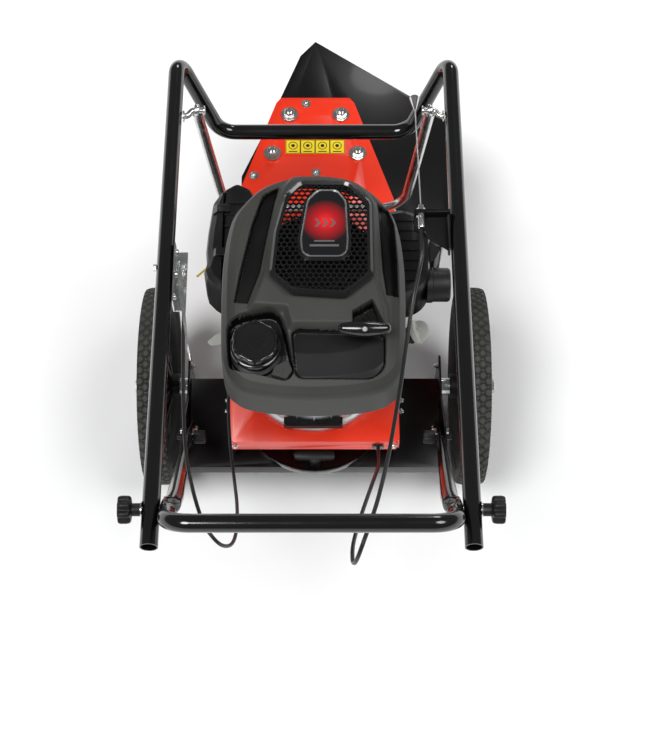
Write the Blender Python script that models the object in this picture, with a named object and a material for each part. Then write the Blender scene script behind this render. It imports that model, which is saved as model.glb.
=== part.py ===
"""Walk-behind trimmer mower: wheeled chassis, folding handle, vertical-shaft engine and belt-driven line head.

Frame: metres, +X to the operator's right, +Y forward, +Z up. The origin is on the ground at the
centre of the machine's box. The handle is modelled folded forward over the engine, as for storage.
"""
import math

import bmesh
import bpy
from mathutils import Matrix, Vector

# ---- driving dimensions -------------------------------------------------------------------------
GAP = 0.0003                      # clearance between touching solids
TUBE_R = 0.0111                   # 22.2 mm handle tube
BAIL_R = 0.0075

AXLE_Y, AXLE_Z = -0.074, 0.1556   # wheel axle
WHEEL_R = AXLE_Z                  # the tyres touch the ground
TYRE_IN, TYRE_OUT = 0.2205, 0.2650
HUB_IN, HUB_OUT = 0.2125, 0.2740
AXLE_BOLT_R = 0.0060

DECK_TOP, SHEET = 0.2625, 0.003
DECK_UNDER = DECK_TOP - SHEET
DECK_FRONT, DECK_REAR, DECK_HALF = 0.400, -0.215, 0.1265
DECK_NOSE_HALF, DECK_TAPER_Y = 0.060, 0.2025
FLANGE_LOW = 0.2335

CRANK_Y, SPINDLE_Y = -0.095, 0.3085
BELT_Z = 0.2100
CRANK_PULLEY_R, SPINDLE_PULLEY_R, IDLER_R = 0.030, 0.050, 0.024
SPINDLE_BOLTS = ((0.042, 0.366), (0.069, 0.291))

PIVOT_Y, PIVOT_Z = -0.4665, 0.6446            # handle fold axis
FOLD_SLOPE = math.radians(3.95)               # folded handle runs slightly downhill to the front
UPPER_X, LOWER_X = 0.1925, 0.1700
LEG_DIR = Vector((0.0, 0.5548, -0.8320))
CROSS_BACK = 0.0690                           # cross tube behind the fold axis, along the leg
BAIL_Y, BAIL_Z, BAIL_X = 0.140, 0.5985, 0.166
BAIL_ANGLE, BAIL_LENGTH = math.radians(-87.5), 0.277

WEB_Z = 0.1750                                # top of the rear frame's web
EAR_OUT = 0.1955
ENGINE_X = 0.000                              # engine centre line
LEVER_BEND = 0.17                              # the throttle lever leans inwards towards its tip
GRIP = (0.0650, -0.1650, 0.5330)   # recoil starter handle, seated on the shroud
OIL_BOSS = Vector((0.1060, -0.0762, 0.3019))  # outer end of the filler boss on the crankcase


# ---- materials ----------------------------------------------------------------------------------
def material(name, colour, roughness, metallic):
    mat = bpy.data.materials.new(name)
    mat.use_nodes = True
    shader = mat.node_tree.nodes["Principled BSDF"]
    shader.inputs["Base Color"].default_value = (*colour, 1.0)
    shader.inputs["Roughness"].default_value = roughness
    shader.inputs["Metallic"].default_value = metallic
    mat.diffuse_color = (*colour, 1.0)
    return mat


def make_materials():
    return {
        "orange": material("orange_paint", (0.85, 0.10, 0.02), 0.35, 0.0),
        "black": material("black_paint", (0.012, 0.012, 0.013), 0.25, 0.0),
        "plastic": material("black_plastic", (0.03, 0.03, 0.032), 0.5, 0.0),
        "grey": material("grey_plastic", (0.55, 0.56, 0.52), 0.45, 0.0),
        "zinc": material("zinc_plate", (0.62, 0.63, 0.62), 0.3, 1.0),
        "steel": material("bright_steel", (0.55, 0.55, 0.56), 0.35, 1.0),
        "alloy": material("cast_alloy", (0.6, 0.6, 0.6), 0.5, 1.0),
        "rubber": material("tyre_rubber", (0.045, 0.045, 0.042), 0.8, 0.0),
        "cable": material("cable_sheath", (0.02, 0.02, 0.02), 0.45, 0.0),
        "line": material("cutting_line", (0.75, 0.65, 0.10), 0.4, 0.0),
    }


# ---- mesh helpers -------------------------------------------------------------------------------
def add_object(name, bm, mat, smooth_angle=35.0, pivot=None):
    bmesh.ops.recalc_face_normals(bm, faces=bm.faces)
    if pivot is not None:
        bmesh.ops.translate(bm, verts=bm.verts, vec=-Vector(pivot))
    mesh = bpy.data.meshes.new(name)
    bm.to_mesh(mesh)
    bm.free()
    mesh.shade_smooth()
    mesh.set_sharp_from_angle(angle=math.radians(smooth_angle))
    mesh.materials.append(mat)
    obj = bpy.data.objects.new(name, mesh)
    bpy.context.collection.objects.link(obj)
    if pivot is not None:
        obj.location = pivot
    return obj


def guide(obj):
    obj.hide_render = True
    obj.display_type = "WIRE"
    return obj


def combine(obj, other, operation):
    modifier = obj.modifiers.new(operation.title(), "BOOLEAN")
    modifier.operation = operation
    modifier.object = guide(other)
    return obj


def frame_for(axis):
    """Rotation that takes +Z to the axis."""
    return Vector((0, 0, 1)).rotation_difference(Vector(axis).normalized()).to_matrix().to_4x4()


def loft(rings, closed_ends=True, closed_loop=False):
    """Skin between rings of equal point count, which are lists of vectors."""
    bm = bmesh.new()
    grid = [[bm.verts.new(p) for p in ring] for ring in rings]
    count = len(rings[0])
    pairs = list(zip(grid, grid[1:]))
    if closed_loop:
        pairs.append((grid[-1], grid[0]))
    for low, high in pairs:
        for i in range(count):
            j = (i + 1) % count
            bm.faces.new((low[i], low[j], high[j], high[i]))
    if closed_ends and not closed_loop:
        bm.faces.new(list(reversed(grid[0])))
        bm.faces.new(grid[-1])
    return bm


def circle(radius, sides, phase=0.0):
    return [Vector((radius * math.cos(phase + 2 * math.pi * i / sides),
                    radius * math.sin(phase + 2 * math.pi * i / sides), 0.0)) for i in range(sides)]


def turned_mesh(profile, centre, axis, sides, phase=0.0):
    """Turn (radius, height) pairs about the axis. A closed ring when no radius is zero at the ends."""
    place = Matrix.Translation(centre) @ frame_for(axis)
    solid = profile[0][0] == 0.0
    inner = profile[1:-1] if solid else profile
    rings = [[place @ (p + Vector((0, 0, h))) for p in circle(r, sides, phase)] for r, h in inner]
    bm = loft(rings, closed_ends=False, closed_loop=not solid)
    if solid:
        for height, first in ((profile[0][1], 0), (profile[-1][1], (len(inner) - 1) * sides)):
            bm.verts.ensure_lookup_table()
            ring = [bm.verts[first + i] for i in range(sides)]
            if abs(height - (inner[0][1] if first == 0 else inner[-1][1])) < 1e-7:
                bm.faces.new(ring)
            else:
                tip = bm.verts.new(place @ Vector((0, 0, height)))
                for i in range(sides):
                    bm.faces.new((ring[i], ring[(i + 1) % sides], tip))
    return bm


def turned(name, mat, profile, centre, axis=(0, 0, 1), sides=24, phase=0.0, pivot=None):
    return add_object(name, turned_mesh(profile, centre, axis, sides, phase), mat, pivot=pivot)


def rod(name, mat, start, end, radius, sides=12, phase=0.0, pivot=None):
    start, end = Vector(start), Vector(end)
    length = (end - start).length
    profile = ((0.0, 0.0), (radius, 0.0), (radius, length), (0.0, length))
    return turned(name, mat, profile, start, end - start, sides, phase, pivot)


def prism_mesh(outline, low, high, plane="XY"):
    """Extrude a 2D outline from low to high along the third axis."""
    order = {"XY": (0, 1, 2), "YZ": (1, 2, 0), "XZ": (0, 2, 1)}[plane]
    rings = []
    for level in (low, high):
        ring = []
        for a, b in outline:
            point = [0.0, 0.0, 0.0]
            point[order[0]], point[order[1]], point[order[2]] = a, b, level
            ring.append(Vector(point))
        rings.append(ring)
    return loft(rings)


def prism(name, mat, outline, low, high, plane="XY", pivot=None):
    return add_object(name, prism_mesh(outline, low, high, plane), mat, 30.0, pivot)


def box(name, mat, low, high, pivot=None):
    outline = ((low[0], low[1]), (high[0], low[1]), (high[0], high[1]), (low[0], high[1]))
    return prism(name, mat, outline, low[2], high[2], "XY", pivot)


def bore(obj, start, end, radius, sides=12):
    surface = obj.data.materials[0]
    return combine(obj, rod(obj.name + "_bore", surface, start, end, radius, sides), "DIFFERENCE")


def join(obj, other):
    return combine(obj, other, "UNION")


def rounded_path(points, radii, steps=5):
    """A polyline whose inner corners are replaced by arcs of the given radii."""
    points = [Vector(p) for p in points]
    path = [points[0]]
    for i in range(1, len(points) - 1):
        before = (points[i - 1] - points[i]).normalized()
        after = (points[i + 1] - points[i]).normalized()
        angle = before.angle(after)
        reach = radii[i - 1] / math.tan(angle / 2)
        start, end = points[i] + before * reach, points[i] + after * reach
        centre = points[i] + (before + after).normalized() * (radii[i - 1] / math.sin(angle / 2))
        for k in range(steps + 1):
            arm = (start - centre).slerp(end - centre, k / steps).normalized()
            path.append(centre + arm * radii[i - 1])
    path.append(points[-1])
    return path


def sweep_mesh(path, radius, sides, squash=None):
    """Tube along a path. squash(i, point) gives (scale across X, scale in the YZ plane, X shift)."""
    path = [Vector(p) for p in path]
    tangents = []
    for i in range(len(path)):
        tangents.append((path[min(i + 1, len(path) - 1)] - path[max(i - 1, 0)]).normalized())
    normal = tangents[0].orthogonal().normalized()
    rings = []
    for i, (point, tangent) in enumerate(zip(path, tangents)):
        normal = (normal - tangent * normal.dot(tangent)).normalized()
        side = tangent.cross(normal)
        stretch = 1.0
        if 0 < i < len(path) - 1:
            bend = (path[i] - path[i - 1]).angle(path[i + 1] - path[i])
            stretch = 1.0 / max(0.8, math.cos(bend / 2))
        ring = []
        for k in range(sides):
            a = 2 * math.pi * k / sides
            offset = (normal * math.cos(a) + side * math.sin(a)) * radius * stretch
            if squash:
                across, along, shift = squash(i, point)
                offset = Vector((offset.x * across, offset.y * along, offset.z * along))
                offset.x += shift
            ring.append(point + offset)
        rings.append(ring)
    return loft(rings)


def sweep(name, mat, path, radius, sides=12, squash=None, pivot=None):
    return add_object(name, sweep_mesh(path, radius, sides, squash), mat, 60.0, pivot)


def smooth_route(points, spacing):
    """Evenly spaced points on a Catmull-Rom curve through a route's points."""
    pts = [Vector(p) for p in points]
    pts = [2 * pts[0] - pts[1]] + pts + [2 * pts[-1] - pts[-2]]
    dense = []
    for i in range(1, len(pts) - 2):
        a, b, c, d = pts[i - 1:i + 3]
        for k in range(20):
            t = k / 20
            dense.append(0.5 * (2 * b + (c - a) * t + (2 * a - 5 * b + 4 * c - d) * t * t
                                + (3 * b - a - 3 * c + d) * t ** 3))
    dense.append(pts[-2])
    total = sum((q - p).length for p, q in zip(dense, dense[1:]))
    count = max(2, round(total / spacing))
    out, run, target, step = [dense[0]], 0.0, total / count, total / count
    for p, q in zip(dense, dense[1:]):
        length = (q - p).length
        while run + length >= target - 1e-9 and len(out) < count:
            out.append(p.lerp(q, (target - run) / length))
            target += step
        run += length
    out.append(dense[-1])
    return out


def cord(name, mat, route, radius):
    """A flexible cable: a bevelled curve on a POLY spline through the smoothed route."""
    curve = bpy.data.curves.new(name, "CURVE")
    curve.dimensions = "3D"
    curve.bevel_depth = radius
    curve.bevel_resolution = 2
    curve.use_fill_caps = True
    points = smooth_route(route, radius * 6.5)
    spline = curve.splines.new("POLY")
    spline.points.add(len(points) - 1)
    for slot, point in zip(spline.points, points):
        slot.co = (*point, 1.0)
    curve.materials.append(mat)
    obj = bpy.data.objects.new(name, curve)
    bpy.context.collection.objects.link(obj)
    return obj


def hexagon(radius):
    return [(radius * math.cos(math.radians(60 * i)), radius * math.sin(math.radians(60 * i)))
            for i in range(6)]


def mirror_x(outline):
    return [(-x, y) for x, y in reversed(outline)]


def arc(cx, cy, radius, start, end, steps):
    return [(cx + radius * math.cos(math.radians(start + (end - start) * k / steps)),
             cy + radius * math.sin(math.radians(start + (end - start) * k / steps)))
            for k in range(steps + 1)]


# ---- chassis ------------------------------------------------------------------------------------
def make_deck(m):
    half = DECK_HALF
    outline = [(-half + 0.006, DECK_REAR), (half - 0.006, DECK_REAR), (half, DECK_REAR + 0.006),
               (half, DECK_TAPER_Y), (DECK_NOSE_HALF + 0.004, DECK_FRONT - 0.010),
               (DECK_NOSE_HALF - 0.004, DECK_FRONT)]
    outline += [(-x, y) for x, y in reversed(outline[2:])]
    deck = prism("deck", m["orange"], outline, DECK_UNDER, DECK_TOP)
    for side in (-1, 1):
        x0, x1 = sorted((side * (half - SHEET), side * half))
        join(deck, box("deck_side", m["orange"], (x0, DECK_REAR + 0.003, FLANGE_LOW),
                       (x1, 0.185, DECK_UNDER + 0.001)))
    join(deck, box("deck_back", m["orange"], (-half + 0.004, DECK_REAR, FLANGE_LOW),
                   (half - 0.004, DECK_REAR + SHEET, DECK_UNDER + 0.001)))
    bore(deck, (0, CRANK_Y, 0.25), (0, CRANK_Y, 0.27), 0.040, 24)
    for x, y in SPINDLE_BOLTS:
        for side in (-1, 1):
            bore(deck, (side * x, y, 0.25), (side * x, y, 0.27), 0.0053)
    bore(deck, (0.095, DECK_REAR - 0.01, 0.247), (0.095, DECK_REAR + 0.01, 0.247), 0.0075, 16)
    return deck


def make_deck_bolts(m):
    """Big bolts through deck, shield and spindle housing: washer, hex nut and stud end on top."""
    n = 0
    for x, y in SPINDLE_BOLTS:
        for side in (-1, 1):
            n += 1
            place = Vector((side * x, y, 0.0))
            profile = ((0.0, 0.236), (0.0048, 0.236), (0.0048, DECK_TOP + GAP), (0.0143, DECK_TOP + GAP),
                       (0.0143, 0.2650), (0.0090, 0.2652), (0.0086, 0.2720), (0.0050, 0.2728),
                       (0.0048, 0.2775), (0.0, 0.2785))
            turned("spindle_bolt_%d" % n, m["zinc"], profile, place, sides=8)


def make_shield(m):
    """Flat debris shield under the deck's nose, with a skirt along its right and rear edges."""
    top, low = DECK_UNDER - GAP, DECK_UNDER - GAP - 0.0025
    outline = [(0.0, 0.516), (-0.025, 0.487), (-0.081, 0.339), (-0.118, 0.250), (-0.118, 0.215),
               (0.100, 0.215), (0.122, 0.205), (0.135, 0.170), (0.150, 0.120), (0.200, 0.120),
               (0.213, 0.190), (0.2125, 0.360), (0.208, 0.369)]
    shield = prism("debris_shield", m["black"], outline, low, top)
    skirt_low = 0.165
    skirts = [((0.2115, 0.3580), (0.2125, 0.190)), ((0.2125, 0.190), (0.1995, 0.1215)),
              ((0.1995, 0.1215), (0.1510, 0.1215))]
    wall = 0.0025
    path = [skirts[0][0]] + [s[1] for s in skirts]
    inner = []
    for i, p in enumerate(path):
        q = Vector(p)
        pull = (Vector((0.10, 0.27)) - q).normalized() * wall * 1.3
        inner.append(tuple(q + pull))
    ring = path + list(reversed(inner))
    join(shield, prism("shield_skirt", m["black"], ring, skirt_low, low + 0.001))
    for x, y in SPINDLE_BOLTS:
        for side in (-1, 1):
            bore(shield, (side * x, y, 0.24), (side * x, y, 0.27), 0.0053)


def make_rear_frame(m):
    """Bent-sheet cross member: web, front lip, rear flange, two ears and two deck uprights."""
    front, back, top = AXLE_Y + 0.004, -0.220, WEB_Z
    section = [(back, top - 0.022), (back + SHEET, top - 0.022), (back + SHEET, top - SHEET),
               (front - SHEET, top - SHEET), (front - SHEET, top - 0.007), (front, top - 0.007),
               (front, top), (back, top)]
    frame = prism("rear_frame", m["black"], section, -EAR_OUT + 0.001, EAR_OUT - 0.001, "YZ")
    ear = [(-0.228, 0.153), (-0.236, 0.262), (-0.224, 0.276), (-0.196, 0.276), (-0.120, 0.216),
           (-0.050, 0.214), (-0.044, 0.206), (-0.044, 0.122), (-0.056, 0.110), (-0.100, 0.110)]
    for side in (-1, 1):
        x0, x1 = sorted((side * (EAR_OUT - SHEET), side * EAR_OUT))
        join(frame, prism("frame_ear", m["black"], ear, x0, x1, "YZ"))
        u0, u1 = sorted((side * 0.1200, side * 0.1230))
        join(frame, box("frame_upright", m["black"], (u0, -0.200, top - 0.001), (u1, -0.088, 0.2560)))
        for y, z in ((AXLE_Y, AXLE_Z), (-0.172, 0.2035), (-0.200, 0.2455)):
            bore(frame, (side * 0.185, y, z), (side * 0.200, y, z), AXLE_BOLT_R + 0.0003, 16)
    bore(frame, (0, -0.212, 0.16), (0, -0.212, 0.19), 0.0040)
    return frame


def make_belt_guard(m):
    """Shallow pan under the belt, rounded about the crank and the spindle."""
    def outline(shrink):
        rear = arc(0, -0.118, 0.114 - shrink, 180, 360, 20)
        front = arc(0, SPINDLE_Y, 0.070 - shrink, 0, 180, 14)
        return rear + front
    guard = prism("belt_guard", m["black"], outline(0.0), WEB_Z + GAP, WEB_Z + 0.012)
    inner = prism("guard_pocket", m["black"], outline(0.002), WEB_Z + 0.0025, WEB_Z + 0.03)
    combine(guard, inner, "DIFFERENCE")
    bore(guard, (0, SPINDLE_Y, 0.16), (0, SPINDLE_Y, 0.20), 0.014, 16)
    bore(guard, (0, -0.212, 0.16), (0, -0.212, 0.20), 0.0040)
    knob = ((0.0, 0.160), (0.0035, 0.160), (0.0035, WEB_Z + 0.0028), (0.0105, WEB_Z + 0.0028),
            (0.0095, 0.203), (0.0075, 0.207), (0.0, 0.207))
    stud = turned("belt_guard_knob", m["plastic"], knob, (0, -0.212, 0.0), sides=16,
                  pivot=(0, -0.212, 0.19))
    wing = [(-0.030, -0.0045), (-0.022, -0.0060), (0.0, -0.0070), (0.022, -0.0060), (0.030, -0.0045),
            (0.031, 0.0), (0.029, 0.0045), (0.020, 0.0055), (-0.020, 0.0055), (-0.029, 0.0045),
            (-0.031, 0.0)]
    wing = [(x, y - 0.212) for x, y in wing]
    join(stud, prism("knob_wing", m["plastic"], wing, 0.196, 0.210))


# ---- handles ------------------------------------------------------------------------------------
def upper_point(distance):
    """Point on an upper side tube's centre line, as (y, z), at a distance ahead of the fold axis."""
    return (PIVOT_Y + distance * math.cos(FOLD_SLOPE), PIVOT_Z - distance * math.sin(FOLD_SLOPE))


def make_lower_handle(m):
    """U-shaped lower handle. It is pressed flat at the fold axis and at both lower ends."""
    pivot = Vector((0, PIVOT_Y, PIVOT_Z))
    cross = pivot - LEG_DIR * CROSS_BACK
    foot = pivot + LEG_DIR * 0.552
    span = foot - cross
    left_cross = Vector((-LOWER_X, cross.y, cross.z))
    corners = [Vector((-0.180, foot.y, foot.z))]
    for along in (0.992, 0.88, 0.82, 0.22, 0.175, 0.150, 0.128, 0.094, 0.075):
        x = -0.180 if along > 0.8 else -0.1715
        x = -LOWER_X if along < 0.2 else x
        corners.append(Vector((x, cross.y + span.y * along, cross.z + span.z * along)))
    arc_part = rounded_path([corners[-1], left_cross, (0, cross.y, cross.z)], [0.030], 6)
    half = corners[:-1] + arc_part
    path = half[:-1] + [Vector((-p.x, p.y, p.z)) for p in reversed(half[:-1])]

    def squash(i, point):
        along = (point - cross).dot(LEG_DIR)
        side = -1.0 if point.x < 0 else 1.0
        if 0.055 < along < 0.083:
            return (0.42, 1.28, side * 0.0063)
        if along > 0.552 - 0.055:
            return (0.45, 1.25, side * 0.0072)
        return (1.0, 1.0, 0.0)
    handle = sweep("lower_handle", m["black"], path, TUBE_R, 12, squash)
    for side in (-1, 1):
        bore(handle, (side * 0.160, PIVOT_Y, PIVOT_Z), (side * 0.190, PIVOT_Y, PIVOT_Z), 0.0045)
        for y, z in ((-0.172, 0.2035), (-0.200, 0.2455)):
            bore(handle, (side * 0.165, y, z), (side * 0.199, y, z), 0.0045)
    return handle


def make_upper_handle(m):
    """Loop handle: two side tubes, apex bends, and a dropped crossbar for the hands."""
    back = upper_point(-0.0487)
    apex = upper_point(0.6990)
    bar_y, bar_z, bar_half = 0.1960, 0.4640, 0.1390
    left = [(-UPPER_X, *back), (-UPPER_X, *apex), (-bar_half, bar_y, bar_z), (bar_half, bar_y, bar_z),
            (UPPER_X, *apex), (UPPER_X, *back)]
    path = rounded_path(left, [0.024, 0.034, 0.034, 0.024], 6)
    handle = sweep("upper_handle", m["black"], path, TUBE_R, 12)
    y, z = back
    y2, z2 = upper_point(-0.028)
    for side in (-1, 1):
        bore(handle, (side * UPPER_X, 2 * y - y2, 2 * z - z2), (side * UPPER_X, y2, z2), 0.0094, 14)
        bore(handle, (side * 0.175, PIVOT_Y, PIVOT_Z), (side * 0.21, PIVOT_Y, PIVOT_Z), 0.0045)
    return handle


def make_fold_hardware(m):
    """Carriage bolts through both tubes, and fluted knobs outside them."""
    for side, word in ((-1, "left"), (1, "right")):
        profile = ((0.0, 0.0), (0.0062, 0.0005), (0.0078, 0.0030), (0.0078, 0.0056), (0.0040, 0.0058),
                   (0.0040, 0.0505), (0.0, 0.0505))
        turned("fold_bolt_" + word, m["zinc"], profile, (side * 0.1650, PIVOT_Y, PIVOT_Z),
               (side, 0, 0), 12)
        hub_start = UPPER_X + TUBE_R + GAP
        flutes, rings = 7, []
        stations = ((0.0, 0.0080, 0.0), (0.0120, 0.0080, 0.0), (0.0125, 0.0150, 0.12),
                    (0.0145, 0.0172, 0.16), (0.0255, 0.0178, 0.16), (0.0280, 0.0160, 0.12))
        for offset, radius, depth in stations:
            ring = []
            for k in range(flutes * 4):
                a = 2 * math.pi * k / (flutes * 4)
                r = radius * (1.0 - depth * 0.5 * (1.0 - math.cos(flutes * a)))
                ring.append(Vector((side * (hub_start + offset), PIVOT_Y + r * math.cos(a),
                                    PIVOT_Z + r * math.sin(a))))
            rings.append(ring)
        pivot = (side * (hub_start + 0.020), PIVOT_Y, PIVOT_Z)
        knob = add_object("fold_knob_" + word, loft(rings), m["plastic"], pivot=pivot)
        bore(knob, (side * (hub_start - 0.01), PIVOT_Y, PIVOT_Z),
             (side * (0.1650 + 0.0509), PIVOT_Y, PIVOT_Z), 0.0043)


def make_leg_hardware(m):
    """Upper knob bolt and lower domed bolt that hold each leg to the rear frame's ear."""
    for side, word in ((-1, "left"), (1, "right")):
        dome = ((0.0, 0.0), (0.0045, 0.0008), (0.0080, 0.0040), (0.0085, 0.0062), (0.0040, 0.0064),
                (0.0040, 0.0300), (0.0, 0.0300))
        turned("leg_bolt_" + word, m["zinc"], dome, (side * 0.1745, -0.172, 0.2035), (side, 0, 0), 12)
        knob = ((0.0, 0.0), (0.0085, 0.0006), (0.0100, 0.0025), (0.0100, 0.0165), (0.0085, 0.0185),
                (0.0040, 0.0188), (0.0040, 0.0430), (0.0, 0.0430))
        turned("leg_knob_" + word, m["plastic"], knob, (side * 0.1620, -0.200, 0.2455), (side, 0, 0), 14,
               pivot=(side * 0.170, -0.200, 0.2455))


def make_bail(m):
    """Operator-presence bar: a zinc-plated U between two bent pins on the side tubes."""
    direction = Vector((0, math.cos(BAIL_ANGLE), math.sin(BAIL_ANGLE)))
    top = Vector((0, BAIL_Y, BAIL_Z)) + direction * 0.0065
    low = Vector((0, BAIL_Y, BAIL_Z)) + direction * BAIL_LENGTH
    half_top, half_low = 0.1615, 0.1370
    path = rounded_path([(-half_top, top.y, top.z), (-half_low, low.y, low.z), (half_low, low.y, low.z),
                         (half_top, top.y, top.z)], [0.050, 0.050], 6)
    bail = sweep("bail", m["zinc"], path, BAIL_R, 8, pivot=(0, BAIL_Y, BAIL_Z))
    for side in (-1, 1):
        eye = ((0.0048, -0.0030), (0.0085, -0.0030), (0.0085, 0.0030), (0.0048, 0.0030))
        join(bail, turned("bail_eye", m["zinc"], eye, (side * 0.1615, BAIL_Y, BAIL_Z), (1, 0, 0), 14))
    for side in (-1, 1):
        bore(bail, (side * 0.150, BAIL_Y, BAIL_Z), (side * 0.172, BAIL_Y, BAIL_Z), 0.0048, 14)
    for side, word in ((-1, "left"), (1, "right")):
        pin_start = UPPER_X - TUBE_R - GAP
        profile = ((0.0, 0.0), (0.0042, 0.0), (0.0042, 0.0290), (0.0068, 0.0292), (0.0068, 0.0315),
                   (0.0, 0.0315))
        turned("bail_pin_" + word, m["zinc"], profile, (side * pin_start, BAIL_Y, BAIL_Z),
               (-side, 0, 0), 12)


def make_clutch_control(m):
    """Bracket on the right side tube with the cable adjuster, the inner wire and its clip on the bail."""
    y, z = upper_point(0.4250)
    wall = UPPER_X - TUBE_R - GAP
    plate = [(0.1340, y + 0.0040), (0.1340, y - 0.0200), (wall, y - 0.0520), (wall, y + 0.0040)]
    bracket = prism("cable_bracket", m["black"], plate, z - 0.0015, z + 0.0015)
    join(bracket, box("bracket_lip", m["black"], (0.1340, y - 0.0010, z - 0.0150),
                      (UPPER_X - TUBE_R - GAP, y + 0.0040, z + 0.0160)))
    join(bracket, box("bracket_base", m["black"], (UPPER_X - TUBE_R - 0.0033, y - 0.0520, z - 0.0100),
                      (UPPER_X - TUBE_R - GAP, y + 0.0040, z + 0.0100)))
    axis_z = z + 0.0085
    bore(bracket, (0.1430, y - 0.006, axis_z), (0.1430, y + 0.006, axis_z), 0.0036)
    profile = ((0.0, -0.0210), (0.0045, -0.0210), (0.0045, -0.0060), (0.0062, -0.0058),
               (0.0062, -0.0013), (0.0033, -0.0012), (0.0033, 0.0044), (0.0055, 0.0046),
               (0.0055, 0.0085), (0.0030, 0.0090), (0.0030, 0.0140), (0.0, 0.0140))
    turned("cable_adjuster", m["zinc"], profile, (0.1430, y, axis_z), (0, 1, 0), 12)
    direction = Vector((0, math.cos(BAIL_ANGLE), math.sin(BAIL_ANGLE)))
    hook = Vector((0.1420, BAIL_Y, BAIL_Z)) + direction * 0.020 + Vector((0, 0.012, 0.004))
    exit_point = Vector((0.1430, y + 0.0143, axis_z))
    aim = (hook - exit_point).normalized()
    rod("clutch_wire", m["steel"], exit_point, hook - aim * GAP, 0.0009, 6)
    clip = ((0.0, 0.0), (0.0022, 0.0), (0.0060, 0.0200), (0.0070, 0.0240), (0.0, 0.0245))
    turned("cable_clip", m["zinc"], clip, hook, aim, 12, pivot=(0, BAIL_Y, BAIL_Z))
    return y, axis_z


def make_throttle(m):
    """Throttle control on the left side tube: channel bracket, pivot bolt and long lever."""
    y, z = upper_point(0.3350)
    inner = UPPER_X - TUBE_R - GAP
    bracket = box("throttle_bracket", m["zinc"], (-inner, y - 0.0440, z - 0.0200),
                  (-inner + 0.0020, y + 0.0440, z + 0.0090))
    join(bracket, box("throttle_floor", m["zinc"], (-inner, y - 0.0440, z - 0.0200),
                      (-0.1650, y + 0.0440, z - 0.0180)))
    bolt_x = -inner + 0.0020 + GAP
    pivot = Vector((bolt_x, y, z + 0.0010))
    profile = ((0.0, 0.0), (0.0055, 0.0), (0.0055, 0.0040), (0.0030, 0.0042), (0.0030, 0.0110),
               (0.0, 0.0110))
    join(bracket, turned("throttle_bolt", m["zinc"], profile, pivot - Vector((0.001, 0, 0)), (1, 0, 0), 10))
    lever_x = pivot.x + 0.0045
    direction = Vector((0, -math.cos(FOLD_SLOPE), math.sin(FOLD_SLOPE)))
    up = Vector((0, math.sin(FOLD_SLOPE), math.cos(FOLD_SLOPE)))
    outline = []
    for along, across in ((-0.016, -0.006), (0.018, -0.006), (0.100, -0.0035), (0.122, -0.011),
                          (0.126, -0.006), (0.106, 0.0040), (0.018, 0.007), (-0.016, 0.007)):
        p = pivot + direction * along + up * across
        outline.append((p.y, p.z))
    blade = prism_mesh(outline, lever_x, lever_x + 0.0025, "YZ")
    for vert in blade.verts:
        vert.co.x += max(0.0, (vert.co - pivot).dot(direction) - 0.020) * LEVER_BEND
    lever = add_object("throttle_lever", blade, m["zinc"], 30.0, (lever_x, pivot.y, pivot.z))
    bore(lever, (lever_x - 0.01, pivot.y, pivot.z), (lever_x + 0.01, pivot.y, pivot.z), 0.0033)
    knob = pivot - direction * 0.010 + Vector((0, 0, 0))
    knob_x = lever_x + 0.0020
    join(lever, turned("lever_knob", m["plastic"], ((0.0, 0.0), (0.0055, 0.0), (0.0060, 0.0060),
                                                   (0.0040, 0.0085), (0.0, 0.0088)),
                       (knob_x, knob.y - 0.0, knob.z), (1, 0, 0), 10))
    return pivot


# ---- wheels -------------------------------------------------------------------------------------
def make_wheels(m):
    for side, word in ((-1, "left"), (1, "right")):
        centre = Vector((0, AXLE_Y, AXLE_Z))
        axis = (side, 0, 0)
        mid, half = (TYRE_IN + TYRE_OUT) / 2, (TYRE_OUT - TYRE_IN) / 2
        r = WHEEL_R
        tyre = ((r - 0.0300, mid - half * 0.70), (r - 0.0160, mid - half), (r - 0.0060, mid - half * 0.90),
                (r - 0.0010, mid - half * 0.55), (r, mid), (r - 0.0010, mid + half * 0.55),
                (r - 0.0060, mid + half * 0.90), (r - 0.0160, mid + half), (r - 0.0300, mid + half * 0.70))
        pivot = (side * mid, AXLE_Y, AXLE_Z)
        turned("tyre_" + word, m["rubber"], tyre, centre, axis, 32, math.pi / 2, pivot)
        rim_r = r - 0.0300 - GAP
        rim = ((0.0063, HUB_IN), (0.0195, HUB_IN), (0.0195, HUB_IN + 0.012), (0.026, mid - 0.006),
               (rim_r - 0.020, mid - 0.006), (rim_r - 0.008, mid - half * 0.70), (rim_r, mid - half * 0.70),
               (rim_r, mid + half * 0.70), (rim_r - 0.008, mid + half * 0.70), (rim_r - 0.020, mid + 0.004),
               (0.026, mid + 0.004), (0.0195, HUB_OUT - 0.010), (0.0170, HUB_OUT), (0.0063, HUB_OUT))
        turned("wheel_rim_" + word, m["plastic"], rim, centre, axis, 32, math.pi / 2, pivot)
        inner = EAR_OUT - SHEET - GAP
        axle = ((0.0, 0.1840), (AXLE_BOLT_R, 0.1840), (AXLE_BOLT_R, inner - 0.0065),
                (0.0098, inner - 0.0065), (0.0098, inner), (AXLE_BOLT_R, inner),
                (AXLE_BOLT_R, EAR_OUT + GAP), (0.0130, EAR_OUT + GAP), (0.0130, HUB_IN - GAP),
                (AXLE_BOLT_R, HUB_IN - GAP), (AXLE_BOLT_R, HUB_OUT + GAP), (0.0105, HUB_OUT + GAP),
                (0.0105, 0.2820), (0.0090, 0.2835), (0.0, 0.2835))
        turned("axle_bolt_" + word, m["zinc"], axle, centre, axis, 12)


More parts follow.
